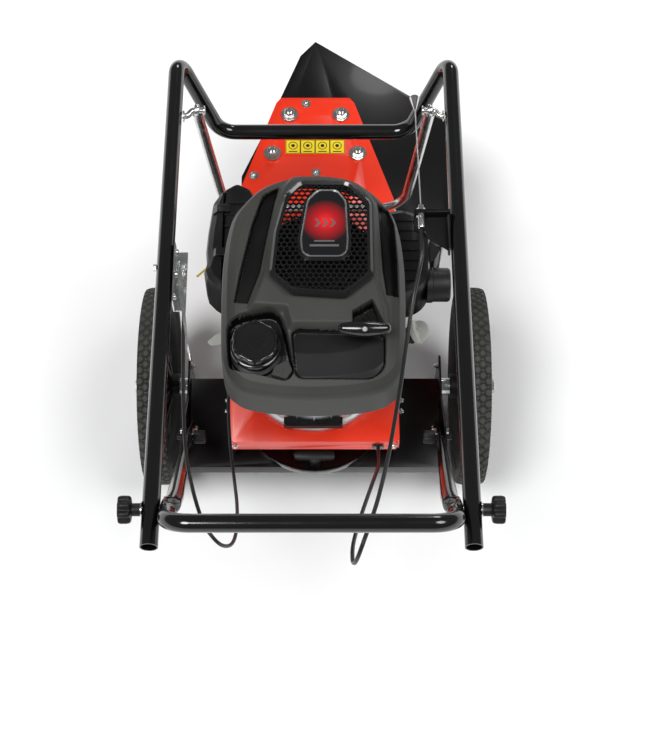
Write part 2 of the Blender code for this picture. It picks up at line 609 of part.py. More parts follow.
# ---- belt drive and cutting head ----------------------------------------------------------------
def vee_pulley(name, mat, radius, centre, sides, hub, bore_r, pivot=None):
    width = 0.0075
    profile = ((bore_r, -width - 0.004), (hub, -width - 0.004), (hub, -width), (radius + 0.004, -width),
               (radius + 0.004, -width + 0.002), (radius - 0.004, -0.0015), (radius - 0.004, 0.0015),
               (radius + 0.004, width - 0.002), (radius + 0.004, width), (hub, width), (bore_r, width))
    return turned(name, mat, profile, centre, (0, 0, 1), sides, 0.0, pivot)


def make_drive(m):
    crank = Vector((0, CRANK_Y, BELT_Z))
    spindle = Vector((0, SPINDLE_Y, BELT_Z))
    low, high, groove = BELT_Z - 0.0075, BELT_Z + 0.0075, CRANK_PULLEY_R - 0.004
    rim = CRANK_PULLEY_R + 0.004
    shaft = ((0.0, 0.1920), (0.0110, 0.1920), (0.0110, low), (rim, low), (rim, low + 0.002),
             (groove, BELT_Z - 0.0015), (groove, BELT_Z + 0.0015), (rim, high - 0.002), (rim, high),
             (0.0180, high), (0.0110, high + 0.004), (0.0110, 0.3950), (0.0300, 0.3950),
             (0.0850, 0.4000), (0.0850, 0.4300), (0.0780, 0.4300), (0.0700, 0.4080),
             (0.0300, 0.4080), (0.0200, 0.4140), (0.0, 0.4140))
    turned("crankshaft", m["steel"], shaft, (0, CRANK_Y, 0), sides=20, pivot=(0, CRANK_Y, 0.25))

    vee_pulley("spindle_pulley", m["steel"], SPINDLE_PULLEY_R, spindle, 20, 0.020, 0.0103, tuple(spindle))
    shaft = ((0.0, 0.0905), (0.0600, 0.0930), (0.0620, 0.0950), (0.0600, 0.0990), (0.0100, 0.0990),
             (0.0100, 0.2480), (0.0, 0.2480))
    turned("spindle_shaft", m["steel"], shaft, (0, SPINDLE_Y, 0), sides=16, pivot=(0, SPINDLE_Y, 0.17))
    flange_top = DECK_UNDER - GAP - 0.0025 - GAP
    housing = ((0.0104, 0.2230), (0.0280, 0.2230), (0.0320, 0.2420), (0.0340, 0.2480),
               (0.0340, flange_top), (0.0104, flange_top))
    body = turned("spindle_housing", m["alloy"], housing, (0, SPINDLE_Y, 0), sides=16)
    for x, y in SPINDLE_BOLTS:
        for side in (-1, 1):
            lug = Vector((side * x, y, 0)) - Vector((0, SPINDLE_Y, 0))
            along = lug.normalized()
            across = Vector((-along.y, along.x, 0)) * 0.012
            tip = Vector((0, SPINDLE_Y, 0)) + along * (lug.length + 0.011)
            root = Vector((0, SPINDLE_Y, 0)) + along * 0.028
            quad = [root + across, tip + across * 0.9, tip - across * 0.9, root - across]
            join(body, prism("housing_lug", m["alloy"], [(q.x, q.y) for q in quad], 0.2470, flange_top))
            bore(body, (side * x, y, 0.23), (side * x, y, 0.26), 0.0053)

    head = ((0.0103, 0.1050), (0.0300, 0.1050), (0.0700, 0.1090), (0.0840, 0.1100), (0.0850, 0.1150),
            (0.0820, 0.1200), (0.0450, 0.1230), (0.0260, 0.1400), (0.0180, 0.1480), (0.0103, 0.1480))
    turned("line_head", m["steel"], head, (0, SPINDLE_Y, 0), sides=20, pivot=(0, SPINDLE_Y, 0.12))
    for n, offset in ((1, 0.030), (2, -0.030)):
        route = []
        for along, lift in ((-0.250, 0.0), (-0.15, 0.0), (0.0, 0.0), (0.15, 0.0), (0.250, 0.0)):
            a = math.radians(45)
            route.append((along * math.cos(a) - offset * math.sin(a),
                          SPINDLE_Y + along * math.sin(a) + offset * math.cos(a), 0.1020 + lift))
        sweep("cutting_line_%d" % n, m["line"], route, 0.0019, 8)
    dish = ((0.0, 0.0), (0.0300, 0.0), (0.0550, 0.0070), (0.0720, 0.0230), (0.0780, 0.0420),
            (0.0760, 0.0430), (0.0690, 0.0270), (0.0520, 0.0110), (0.0280, 0.0045), (0.0200, 0.0300),
            (0.0160, 0.0902), (0.0, 0.0902))
    turned("support_dish", m["steel"], dish, (0, SPINDLE_Y, 0), sides=24, pivot=(0, SPINDLE_Y, 0.02))


def belt_outline(offset):
    """Open belt about the two pulleys, pressed in on the right side by the idler."""
    r1, r2 = CRANK_PULLEY_R + offset, SPINDLE_PULLEY_R + offset
    distance = SPINDLE_Y - CRANK_Y
    lean = math.degrees(math.asin((SPINDLE_PULLEY_R - CRANK_PULLEY_R) / distance))
    rear = arc(0, CRANK_Y, r1, 180 - lean, 360 + lean, 14)
    front = arc(0, SPINDLE_Y, r2, lean, 180 - lean, 14)
    return rear + front


def make_belt(m):
    belt = prism("drive_belt", m["cable"], belt_outline(0.0070), BELT_Z - 0.0040, BELT_Z + 0.0040)
    hole = prism("belt_inside", m["cable"], belt_outline(0.0018), BELT_Z - 0.02, BELT_Z + 0.02)
    combine(belt, hole, "DIFFERENCE")
    idler = Vector((0.0820, 0.1000, BELT_Z))
    pulley = ((0.0053, -0.0070), (IDLER_R + 0.003, -0.0070), (IDLER_R + 0.003, -0.0055),
              (IDLER_R, -0.0050), (IDLER_R, 0.0050), (IDLER_R + 0.003, 0.0055), (IDLER_R + 0.003, 0.0070),
              (0.0053, 0.0070))
    turned("idler_pulley", m["steel"], pulley, idler, (0, 0, 1), 16, 0.0, tuple(idler))
    hinge = Vector((0.1000, 0.0300, BELT_Z))
    bar_low, bar_high = BELT_Z + 0.0100, BELT_Z + 0.0140
    along = (idler - hinge).normalized()
    side = Vector((-along.y, along.x, 0)) * 0.0100
    quad = [hinge - along * 0.012 + side, idler + along * 0.010 + side, idler + along * 0.010 - side,
            hinge - along * 0.012 - side]
    arm = prism("idler_arm", m["zinc"], [(q.x, q.y) for q in quad], bar_low, bar_high,
                pivot=tuple(hinge))
    join(arm, turned("idler_post", m["zinc"], ((0.0, -0.0075), (0.0050, -0.0075), (0.0050, 0.0120),
                                              (0.0, 0.0120)), idler, (0, 0, 1), 12))
    pin = ((0.0, 0.0050), (0.0080, 0.0050), (0.0080, 0.0095), (0.0050, 0.0160), (0.0050, 0.0492),
           (0.0, 0.0492))
    join(arm, turned("idler_pivot", m["zinc"], pin, hinge, (0, 0, 1), 12))
    return idler, hinge


# ---- engine -------------------------------------------------------------------------------------
def cover_ring(scale, z, front=0.0, back=0.0, sides=0.0):
    """One horizontal outline of the shroud; the extra values pull its edges in."""
    right = [(0.0, -0.2450 + back), (0.070, -0.2400 + back), (0.105 - sides, -0.2280 + back),
             (0.123 - sides, -0.2000 + back), (0.127 - sides, -0.1300), (0.1265 - sides, -0.0500),
             (0.118 - sides, 0.0150 - front * 0.5), (0.100 - sides, 0.0480 - front * 0.8),
             (0.072 - sides * 0.8, 0.0760 - front), (0.030, 0.0920 - front), (0.0, 0.0940 - front)]
    points = right + [(-x, y) for x, y in reversed(right[1:-1])]
    centre_y = -0.075
    return [Vector((ENGINE_X + x * scale, centre_y + (y - centre_y) * scale, z)) for x, y in points]


def make_cover(m):
    """Fan and tank shroud: a thin shell, open below, sloping down to the rear."""
    def lowered(ring, back_drop, front_drop):
        out = []
        for p in ring:
            t = max(0.0, min(1.0, (0.094 - p.y) / 0.339))
            out.append(Vector((p.x, p.y, p.z - back_drop * t * t - front_drop * (1 - t) ** 2)))
        return out
    outer = [lowered(cover_ring(1.0, 0.4420), 0.018, -0.030), lowered(cover_ring(1.0, 0.4900), 0.012, 0.0),
             lowered(cover_ring(0.985, 0.5080, 0.004, 0.004, 0.004), 0.020, 0.0),
             lowered(cover_ring(0.93, 0.5260, 0.010, 0.012, 0.010), 0.028, 0.0),
             lowered(cover_ring(0.84, 0.5380, 0.016, 0.020, 0.020), 0.034, 0.0),
             lowered(cover_ring(0.66, 0.5440, 0.020, 0.030, 0.028), 0.036, 0.0)]
    wall = 0.0030
    inner = []
    for i, (scale, z, f, b, s) in enumerate(((0.975, 0.4420, 0, 0, 0), (0.975, 0.4880, 0, 0, 0),
                                             (0.960, 0.5050, 0.004, 0.004, 0.004),
                                             (0.905, 0.5225, 0.010, 0.012, 0.010),
                                             (0.81, 0.5345, 0.016, 0.020, 0.020))):
        drops = ((0.018, -0.030), (0.012, 0.0), (0.020, 0.0), (0.028, 0.0), (0.034, 0.0))[i]
        inner.append(lowered(cover_ring(scale, z, f, b, s), *drops))
    bm = bmesh.new()
    layers = []
    for ring in list(reversed(inner)) + outer:
        layers.append([bm.verts.new(p) for p in ring])
    count = len(layers[0])
    for low, high in zip(layers, layers[1:]):
        for i in range(count):
            j = (i + 1) % count
            bm.faces.new((low[i], low[j], high[j], high[i]))
    bm.faces.new(list(reversed(layers[0])))
    bm.faces.new(layers[-1])
    cover = add_object("engine_cover", bm, m["plastic"], 30.0)
    screen = screen_outline(0.0)
    combine(cover, prism("screen_opening", m["plastic"], screen, 0.50, 0.60), "DIFFERENCE")
    combine(cover, turned("cap_well", m["plastic"], ((0.0, 0.0), (0.0360, 0.0), (0.0360, 0.09),
                                                     (0.0, 0.09)), (-0.078, -0.179, 0.46), sides=24),
            "DIFFERENCE")
    return cover


def screen_outline(grow):
    cx = ENGINE_X + 0.006
    points = [(-0.030, -0.118), (0.030, -0.118), (0.062, -0.088), (0.062, 0.022), (0.040, 0.046),
              (-0.040, 0.046), (-0.062, 0.022), (-0.062, -0.088)]
    return [(cx + x * (1 + grow), -0.036 + (y + 0.036) * (1 + grow)) for x, y in points]


def make_engine(m):
    base = ((0.0113, DECK_TOP + GAP), (0.1050, DECK_TOP + GAP), (0.1050, 0.2760), (0.0960, 0.2820),
            (0.0920, 0.3700), (0.0600, 0.3900), (0.0113, 0.3930))
    block = turned("engine_block", m["alloy"], base, (0, CRANK_Y, 0), sides=32)
    join(block, rod("filler_boss", m["alloy"], (0.0800, -0.0818, 0.2881), OIL_BOSS, 0.0130, 12))
    join(block, box("cylinder_block", m["alloy"], (-0.045, -0.050, 0.2950), (0.045, 0.060, 0.3750)))
    for k in range(5):
        y = 0.000 + 0.013 * k
        join(block, box("cooling_fin", m["alloy"], (-0.060, y, 0.2850), (0.060, y + 0.004, 0.3880)))
    join(block, box("cylinder_head", m["alloy"], (-0.050, 0.0590, 0.2950), (0.050, 0.0790, 0.3750)))

    tank = prism("fuel_tank", m["plastic"],
                 [(-0.105, -0.215), (0.095, -0.215), (0.110, -0.195), (0.110, -0.145), (-0.035, -0.145),
                  (-0.042, -0.132), (-0.108, -0.132), (-0.115, -0.195)], 0.4350, 0.4700)
    join(tank, turned("tank_neck", m["plastic"], ((0.0, 0.455), (0.0220, 0.455), (0.0220, 0.4960),
                                                 (0.0, 0.4960)), (-0.078, -0.179, 0), sides=20))
    cap_rings = []
    for z, radius, depth in ((0.4963, 0.0250, 0.0), (0.5040, 0.0262, 0.0), (0.5060, 0.0330, 0.07),
                             (0.5170, 0.0335, 0.07), (0.5200, 0.0310, 0.05)):
        ring = []
        for k in range(36):
            a = 2 * math.pi * k / 36
            r = radius * (1.0 - depth * 0.5 * (1.0 + math.cos(6 * a)))
            ring.append(Vector((-0.078 + r * math.cos(a), -0.179 + r * math.sin(a), z)))
        cap_rings.append(ring)
    add_object("fuel_cap", loft(cap_rings), m["plastic"], pivot=(-0.078, -0.179, 0.51))

    starter = ((0.0, 0.4380), (0.0780, 0.4380), (0.0780, 0.4680), (0.0600, 0.4900), (0.0350, 0.4960),
               (0.0, 0.4960))
    recoil = turned("recoil_starter", m["plastic"], starter, (0, -0.060, 0), sides=28)

    cx = ENGINE_X + 0.006
    screen = prism("air_screen", m["plastic"], screen_outline(-0.006), 0.5405, 0.5435)
    badge = [(cx - 0.026 + 0.0, 0.028), (cx - 0.012, 0.040), (cx + 0.014, 0.040), (cx + 0.028, 0.028),
             (cx + 0.032, -0.055), (cx + 0.022, -0.066), (cx - 0.020, -0.066), (cx - 0.030, -0.055)]
    join(screen, prism("badge_plate", m["plastic"], badge, 0.5430, 0.5470))

    gx, gy = GRIP[0], GRIP[1]
    grip = [(-0.0330, 0.0010), (-0.0290, -0.0045), (-0.0170, -0.0065), (0.0, -0.0075), (0.0170, -0.0065),
            (0.0290, -0.0045), (0.0330, 0.0010), (0.0280, 0.0050), (0.0, 0.0060), (-0.0280, 0.0050)]
    grip = [(gx + x, gy + y) for x, y in grip]
    handle = prism("recoil_handle", m["plastic"], grip, GRIP[2] - 0.0060, GRIP[2] + 0.0060, pivot=GRIP)
    return handle


def make_engine_sides(m):
    base = prism("air_cleaner_base", m["plastic"],
                 [(-0.1335, 0.1260), (-0.1150, 0.1380), (-0.0950, 0.1280), (-0.0800, 0.0950),
                  (-0.0800, 0.050), (-0.0605, 0.050), (-0.0605, 0.012), (-0.0885, 0.005),
                  (-0.0940, -0.0360), (-0.1030, -0.0440), (-0.1335, -0.0400)], 0.3300, 0.4150)
    plan = [(-0.1338, 0.1255), (-0.1410, 0.1215), (-0.1500, 0.1060), (-0.1580, 0.0240), (-0.1560, 0.0050),
            (-0.1600, -0.0100), (-0.1560, -0.0240), (-0.1338, -0.0440)]
    rings = []
    for z, inset in ((0.3300, 0.0060), (0.3380, 0.0), (0.4080, 0.0), (0.4240, 0.0110)):
        ring = []
        for x, y in plan:
            pull = inset if x < -0.1340 else 0.0
            ring.append(Vector((min(x + pull, -0.1346) if pull else x, 0.03 + (y - 0.03) * (1 - inset * 8), z)))
        rings.append(ring)
    add_object("air_cleaner_cover", loft(rings), m["plastic"], 20.0, pivot=(-0.1340, 0.030, 0.330))
    guard = [(0.0960, -0.0420), (0.1340, -0.0490), (0.1560, -0.0380), (0.1680, -0.0220),
             (0.1700, 0.0500), (0.1560, 0.0850), (0.1300, 0.0950), (0.0800, 0.0850), (0.0800, 0.0500),
             (0.0605, 0.0500), (0.0605, 0.0120), (0.0930, 0.0050)]
    muffler = prism("muffler", m["black"], guard, 0.3350, 0.4200)
    outlet = ((0.0, -0.0100), (0.0250, -0.0100), (0.0250, 0.0260), (0.0225, 0.0290), (0.0, 0.0290))
    join(muffler, turned("exhaust_outlet", m["black"], outlet, (0.1706, -0.0150, 0.3800), (1, 0, 0), 24))
    filler_start, filler_end = OIL_BOSS, Vector((0.1460, -0.0676, 0.3231))
    aim = (filler_end - filler_start).normalized()
    rod("oil_filler", m["plastic"], filler_start + aim * GAP, filler_end, 0.0110, 12)
    profile = ((0.0, 0.0), (0.0130, 0.0), (0.0175, 0.0020), (0.0190, 0.0060), (0.0185, 0.0100),
               (0.0, 0.0110))
    cap = turned("oil_cap", m["grey"], profile, filler_end + aim * GAP, aim, 18,
                 pivot=tuple(filler_end))
    top = filler_end + aim * 0.0080
    fin = prism("oil_cap_fin", m["grey"], [(-0.0165, -0.0), (-0.0150, 0.0150), (-0.0080, 0.0190),
                                            (0.0080, 0.0190), (0.0150, 0.0150), (0.0165, 0.0)],
                -0.0035, 0.0035, "XZ")
    fin.matrix_world = Matrix.Translation(top) @ frame_for(aim)
    join(cap, fin)
    lever = [(-0.1560, -0.0950), (-0.1500, -0.1010), (-0.1340, -0.0980), (-0.1240, -0.0900),
             (-0.1240, -0.0800), (-0.1340, -0.0790), (-0.1440, -0.0830)]
    prism("fuel_valve", m["grey"], lever, 0.3500, 0.3540, pivot=(-0.130, -0.0860, 0.352))
    join(base, box("valve_body", m["plastic"], (-0.133, -0.098, 0.3320), (-0.104, -0.030, 0.3500 - GAP)))


# ---- cables -------------------------------------------------------------------------------------
def make_cables(m, bracket_y, bracket_z):
    clutch = [(0.1430, bracket_y - 0.0220, bracket_z), (0.1430, bracket_y - 0.0420, bracket_z - 0.0002),
              (0.1415, -0.1100, 0.6180), (0.1300, -0.1600, 0.5850),
              (0.1150, -0.2600, 0.5750), (0.0980, -0.3600, 0.5850), (0.0830, -0.4300, 0.6050),
              (0.0720, -0.4700, 0.6180), (0.0630, -0.4960, 0.6180), (0.0560, -0.5110, 0.6020),
              (0.0520, -0.5115, 0.5800), (0.0500, -0.4980, 0.5580), (0.0520, -0.4680, 0.5320),
              (0.0620, -0.4200, 0.4920), (0.0780, -0.3500, 0.4200), (0.0900, -0.2900, 0.3350),
              (0.0940, -0.2600, 0.2880), (0.0950, -0.2420, 0.2640), (0.0950, -0.2220, 0.2500),
              (0.0950, -0.1950, 0.2465)]
    cord("clutch_cable", m["cable"], clutch, 0.0028)
    throttle = [(-0.1670, -0.1790, 0.6080), (-0.1665, -0.2100, 0.6060), (-0.1640, -0.2900, 0.6000),
                (-0.1580, -0.3700, 0.5980), (-0.1480, -0.4200, 0.6000), (-0.1340, -0.4650, 0.6050),
                (-0.1220, -0.4850, 0.6050), (-0.1100, -0.4920, 0.5900), (-0.1000, -0.4800, 0.5600),
                (-0.0980, -0.4400, 0.5000), (-0.1020, -0.3800, 0.4300), (-0.1100, -0.3200, 0.3800),
                (-0.1180, -0.2600, 0.3600), (-0.1220, -0.2000, 0.3600), (-0.1210, -0.1400, 0.3650),
                (-0.1190, -0.0990, 0.3650)]
    cord("throttle_cable", m["cable"], throttle, 0.0025)


# ---- assembly -----------------------------------------------------------------------------------
def build():
    for obj in list(bpy.data.objects):
        bpy.data.objects.remove(obj)
    m = make_materials()
    make_deck(m)
    make_deck_bolts(m)
    make_shield(m)
    make_rear_frame(m)
    make_belt_guard(m)
    make_lower_handle(m)
    make_upper_handle(m)
    make_fold_hardware(m)
    make_leg_hardware(m)
    make_bail(m)
    bracket_y, bracket_z = make_clutch_control(m)
    make_throttle(m)
    make_wheels(m)
    make_drive(m)
    make_belt(m)
    make_cover(m)
    make_engine(m)
    make_engine_sides(m)
    make_cables(m, bracket_y, bracket_z)


build()
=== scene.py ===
"""Looks of the walk-behind trimmer mower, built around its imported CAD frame. Metres, +Z up, +Y forward."""
from math import cos, pi, radians, sin, sqrt, tan

import bmesh
import bpy
import numpy as np
from mathutils import Matrix, Vector


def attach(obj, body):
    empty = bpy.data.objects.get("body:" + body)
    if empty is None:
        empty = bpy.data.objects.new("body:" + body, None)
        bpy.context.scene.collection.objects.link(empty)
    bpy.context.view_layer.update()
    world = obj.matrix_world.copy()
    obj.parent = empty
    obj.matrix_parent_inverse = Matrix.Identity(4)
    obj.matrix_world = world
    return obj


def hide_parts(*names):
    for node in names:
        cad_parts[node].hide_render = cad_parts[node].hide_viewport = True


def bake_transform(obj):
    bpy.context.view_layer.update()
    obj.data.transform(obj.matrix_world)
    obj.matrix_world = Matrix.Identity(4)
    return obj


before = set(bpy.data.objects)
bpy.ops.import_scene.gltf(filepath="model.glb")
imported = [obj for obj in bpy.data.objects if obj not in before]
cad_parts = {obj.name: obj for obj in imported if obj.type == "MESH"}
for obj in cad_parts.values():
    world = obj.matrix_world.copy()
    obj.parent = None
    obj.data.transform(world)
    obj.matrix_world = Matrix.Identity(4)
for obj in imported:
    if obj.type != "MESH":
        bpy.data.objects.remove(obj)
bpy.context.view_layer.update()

# ---- Places shared with the CAD ----
TUBE_R, BAIL_R = 0.0111, 0.0075
UPPER_X, LOWER_X = 0.1925, 0.17
PIVOT = Vector((0.0, -0.4665, 0.6446))
FOLD_SLOPE = radians(3.95)
LEG_DIR = Vector((0.0, 0.5548, -0.832))
BAIL = Vector((0.0, 0.14, 0.5985))
BAIL_DIR = Vector((0.0, cos(radians(-87.5)), sin(radians(-87.5))))
AXLE_Y, AXLE_Z = -0.074, 0.1556
DECK_TOP = 0.2625
CRANK_Y = -0.095
CAP = Vector((-0.078, -0.179, 0.4963))
GRIP = Vector((0.065, -0.165, 0.533))
WHEEL_R, TYRE_MID, TYRE_HALF = 0.1556, 0.24275, 0.02225
SIDES = ((-1, "left"), (1, "right"))


# ---- materials ----
def set_inputs(node, **values):
    """Sets a node's inputs, named with _ for each space."""
    for name, value in values.items():
        node.inputs[name.replace("_", " ")].default_value = value
    return node


def add_node(tree, kind, **values):
    return set_inputs(tree.nodes.new("ShaderNode" + kind), **values)


def surface(name, colour, roughness, metallic=0.0, coat=0.0, grain=900.0, bump=0.05, patch=0.12,
            rough_patch=0.08, patch_scale=14.0, specular=0.5):
    """Principled surface with a fine grain bump and slow changes of tone and gloss."""
    mat = bpy.data.materials.new(name)
    mat.use_nodes = True
    tree = mat.node_tree
    link = tree.links.new
    shader = set_inputs(tree.nodes["Principled BSDF"], Metallic=metallic, Specular_IOR_Level=specular,
                        Coat_Weight=coat, Coat_Roughness=0.08)
    place = add_node(tree, "TexCoord").outputs["Object"]

    slow = add_node(tree, "TexNoise", Scale=patch_scale, Detail=5.0)
    link(place, slow.inputs["Vector"])
    tone = add_node(tree, "ValToRGB")
    low, high = tone.color_ramp.elements
    low.position, high.position = 0.3, 0.7
    low.color = (*[c * (1 - patch) for c in colour], 1.0)
    high.color = (*[min(1.0, c * (1 + patch)) for c in colour], 1.0)
    link(slow.outputs["Fac"], tone.inputs["Fac"])
    link(tone.outputs["Color"], shader.inputs["Base Color"])
    gloss = add_node(tree, "MapRange", To_Min=max(0.02, roughness - rough_patch),
                     To_Max=min(1.0, roughness + rough_patch))
    link(slow.outputs["Fac"], gloss.inputs["Value"])
    link(gloss.outputs["Result"], shader.inputs["Roughness"])

    fine = add_node(tree, "TexNoise", Scale=grain, Detail=3.0)
    link(place, fine.inputs["Vector"])
    relief = add_node(tree, "Bump", Strength=bump, Distance=0.0005)
    link(fine.outputs["Fac"], relief.inputs["Height"])
    link(relief.outputs["Normal"], shader.inputs["Normal"])
    return mat


def glowing_panel(name, centre, radius):
    """Dark gloss panel with a soft red glow about its centre."""
    dark = (0.006, 0.006, 0.007)
    mat = surface(name, dark, 0.16, coat=0.5, bump=0.0)
    tree = mat.node_tree
    gap = add_node(tree, "VectorMath")
    gap.operation = "DISTANCE"
    gap.inputs[1].default_value = centre
    tree.links.new(add_node(tree, "TexCoord").outputs["Object"], gap.inputs[0])
    reach = add_node(tree, "MapRange", From_Max=radius)
    tree.links.new(gap.outputs["Value"], reach.inputs["Value"])
    ramp = add_node(tree, "ValToRGB")
    ramp.color_ramp.elements[0].color = (0.95, 0.018, 0.022, 1.0)
    ramp.color_ramp.elements[1].color = (*dark, 1.0)
    ramp.color_ramp.elements.new(0.45).color = (0.42, 0.008, 0.012, 1.0)
    tree.links.new(reach.outputs["Result"], ramp.inputs["Fac"])
    tree.links.new(ramp.outputs["Color"], tree.nodes["Principled BSDF"].inputs["Base Color"])
    return mat


MAT = {
    "orange": surface("orange_paint", (0.82, 0.03, 0.005), 0.34, coat=0.15, grain=420, bump=0.1,
                      patch=0.05),
    "black": surface("gloss_black_paint", (0.003, 0.003, 0.003), 0.15, coat=0.5, grain=350, bump=0.05),
    "satin": surface("satin_black_paint", (0.004, 0.004, 0.004), 0.34, specular=0.28, coat=0.1, grain=420,
                     bump=0.12),
    "shroud": surface("shroud_plastic", (0.043, 0.043, 0.04), 0.5, specular=0.28, grain=1500, bump=0.22,
                      patch=0.1),
    # Shroud recesses: their near-black colour is painted shade; their lower roughness is a smoother finish.
    "shade": surface("smooth_painted_shade_recess", (0.0035, 0.0035, 0.0035), 0.32, specular=0.28, bump=0.08,
                     patch=0.1),
    "plastic": surface("moulded_plastic", (0.01, 0.01, 0.01), 0.42, specular=0.28, grain=1300, bump=0.2),
    "gloss": surface("gloss_plastic", (0.006, 0.006, 0.006), 0.2, coat=0.4, grain=700, bump=0.04),
    "grey": surface("light_grey_plastic", (0.5, 0.51, 0.47), 0.42, bump=0.12, patch=0.06),
    "zinc": surface("zinc_plate", (0.66, 0.67, 0.65), 0.24, metallic=1.0, grain=500, bump=0.12,
                    patch=0.14, rough_patch=0.1, patch_scale=60.0),
    "steel": surface("machined_steel", (0.5, 0.5, 0.51), 0.34, metallic=1.0, grain=700, bump=0.15,
                     patch=0.1, patch_scale=30.0),
    "alloy": surface("cast_alloy", (0.66, 0.66, 0.67), 0.42, metallic=1.0, grain=650, bump=0.45,
                     patch=0.1, patch_scale=40.0),
    "rubber": surface("tyre_rubber", (0.04, 0.04, 0.036), 0.72, grain=800, bump=0.3, patch=0.25,
                      patch_scale=25.0),
    "cable": surface("cable_sheath", (0.01, 0.01, 0.01), 0.36, bump=0.08),
    "line": surface("cutting_line", (0.62, 0.5, 0.05), 0.38, bump=0.08),
    "yellow": surface("yellow_label", (0.88, 0.66, 0.015), 0.35, coat=0.3, grain=600, bump=0.03,
                      patch=0.04),
    "silver": surface("silver_trim", (0.78, 0.78, 0.74), 0.22, metallic=1.0, grain=500, bump=0.03,
                      patch=0.05),
    "ink": surface("label_ink", (0.012, 0.012, 0.012), 0.4, grain=600, bump=0.02),
    "panel": glowing_panel("badge_panel", (0.0165, -0.008, 0.549), 0.034),
}


# ---- mesh helpers ----
def add_object(name, data):
    obj = bpy.data.objects.new(name, data)
    bpy.context.collection.objects.link(obj)
    return obj


def finished_mesh(name, bm):
    """The mesh with its faces turned outwards; the bmesh is freed."""
    bmesh.ops.recalc_face_normals(bm, faces=bm.faces)
    mesh = bpy.data.meshes.new(name)
    bm.to_mesh(mesh)
    bm.free()
    return mesh


def piece(name, bm, mat, body, stands_for=None, angle=35.0, ride=True):
    """Makes the mesh an object on a body, in place of a CAD node if one is given."""
    bmesh.ops.remove_doubles(bm, verts=bm.verts, dist=1e-6)
    mesh = finished_mesh(name, bm)
    mesh.shade_smooth()
    mesh.set_sharp_from_angle(angle=radians(angle))
    mesh.materials.append(MAT[mat])
    obj = add_object(name, mesh)
    if ride:
        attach(obj, body)
    if stands_for:
        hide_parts(stands_for)
    return obj


def bevel(obj, width, segments=2, angle=32.0):
    modifier = obj.modifiers.new("edge_round", "BEVEL")
    modifier.width = width
    modifier.segments = segments
    modifier.limit_method = "ANGLE"
    modifier.angle_limit = radians(angle)
    modifier.harden_normals = True


def skin(bm, rings, closed_loop=False, caps=True):
    """Faces between rings of points, with end caps, or with the last ring joined to the first."""
    grid = [[bm.verts.new(p) for p in ring] for ring in rings]
    count = len(rings[0])
    pairs = list(zip(grid, grid[1:])) + ([(grid[-1], grid[0])] if closed_loop else [])
    for low, high in pairs:
        for i in range(count):
            j = (i + 1) % count
            bm.faces.new((low[i], low[j], high[j], high[i]))
    if caps and not closed_loop:
        bm.faces.new(list(reversed(grid[0])))
        bm.faces.new(grid[-1])


def layers(*stations):
    """Rings of points from (outline, height) pairs."""
    return [[Vector((x, y, z)) for x, y in outline] for outline, z in stations]


def angles(count, phase=0.0):
    return [2 * pi * (k + phase) / count for k in range(count)]


def rod(radius, low, high):
    """The profile of a plain round bar."""
    return (0.0, low), (radius, low), (radius, high), (0.0, high)


def topped(radius, low, shoulder, top_radius, high):
    """The profile of a round bar whose top edge is cut back."""
    return (0.0, low), (radius, low), (radius, shoulder), (top_radius, high), (0.0, high)


def collar(inner, outer, low, high):
    """The profile of a plain ring."""
    return (inner, low), (outer, low), (outer, high), (inner, high)


def turn(bm, profile, centre, axis=(0, 0, 1), sides=48, phase=0.0):
    """Adds a turned solid of (radius, height) pairs; a ring where no end radius is zero."""
    tilt = Vector((0, 0, 1)).rotation_difference(Vector(axis).normalized())
    place = Matrix.Translation(Vector(centre)) @ tilt.to_matrix().to_4x4()
    solid = profile[0][0] == 0.0
    rings = []
    for r, h in profile[1:-1] if solid else profile:
        rings.append([place @ Vector((r * cos(phase + a), r * sin(phase + a), h))
                      for a in angles(sides)])
    skin(bm, rings, closed_loop=not solid, caps=solid)


def extrude(bm, outline, low, high, plane="XY"):
    """Adds a prism of the outline; in plane XZ it runs along Y."""
    if plane == "XY":
        rings = layers((outline, low), (outline, high))
    else:
        rings = [[Vector((x, level, z)) for x, z in outline] for level in (low, high)]
    skin(bm, rings)
    return bm


def block(bm, low, high):
    outline = [(low[0], low[1]), (high[0], low[1]), (high[0], high[1]), (low[0], high[1])]
    extrude(bm, outline, low[2], high[2])


def rounded_path(points, radii, steps=12):
    """The points with an arc of the given radius at each inner corner."""
    points = [Vector(p) for p in points]
    path = [points[0]]
    for i in range(1, len(points) - 1):
        before = (points[i - 1] - points[i]).normalized()
        after = (points[i + 1] - points[i]).normalized()
        angle = before.angle(after)
        radius = radii[i - 1]
        reach = radius / tan(angle / 2)
        start, end = points[i] + before * reach, points[i] + after * reach
        centre = points[i] + (before + after).normalized() * (radius / sin(angle / 2))
        for k in range(steps + 1):
            path.append(centre + (start - centre).slerp(end - centre, k / steps).normalized() * radius)
    path.append(points[-1])
    return path


def sweep(bm, path, radius, sides=28, squash=None):
    """Adds a tube along the path; squash gives each place its width, height and sideways shift."""
    path = [Vector(p) for p in path]
    last = len(path) - 1
    tangents = [(path[min(i + 1, last)] - path[max(i - 1, 0)]).normalized() for i in range(last + 1)]
    normal = tangents[0].orthogonal().normalized()
    rings = []
    for i, (point, tangent) in enumerate(zip(path, tangents)):
        normal = (normal - tangent * normal.dot(tangent)).normalized()
        side = tangent.cross(normal)
        size = radius[i] if isinstance(radius, (list, tuple)) else radius
        ring = []
        for a in angles(sides):
            offset = (normal * cos(a) + side * sin(a)) * size
            if squash:
                across, along, shift = squash(point)
                offset = Vector((offset.x * across + shift, offset.y * along, offset.z * along))
            ring.append(point + offset)
        rings.append(ring)
    skin(bm, rings)
    return bm


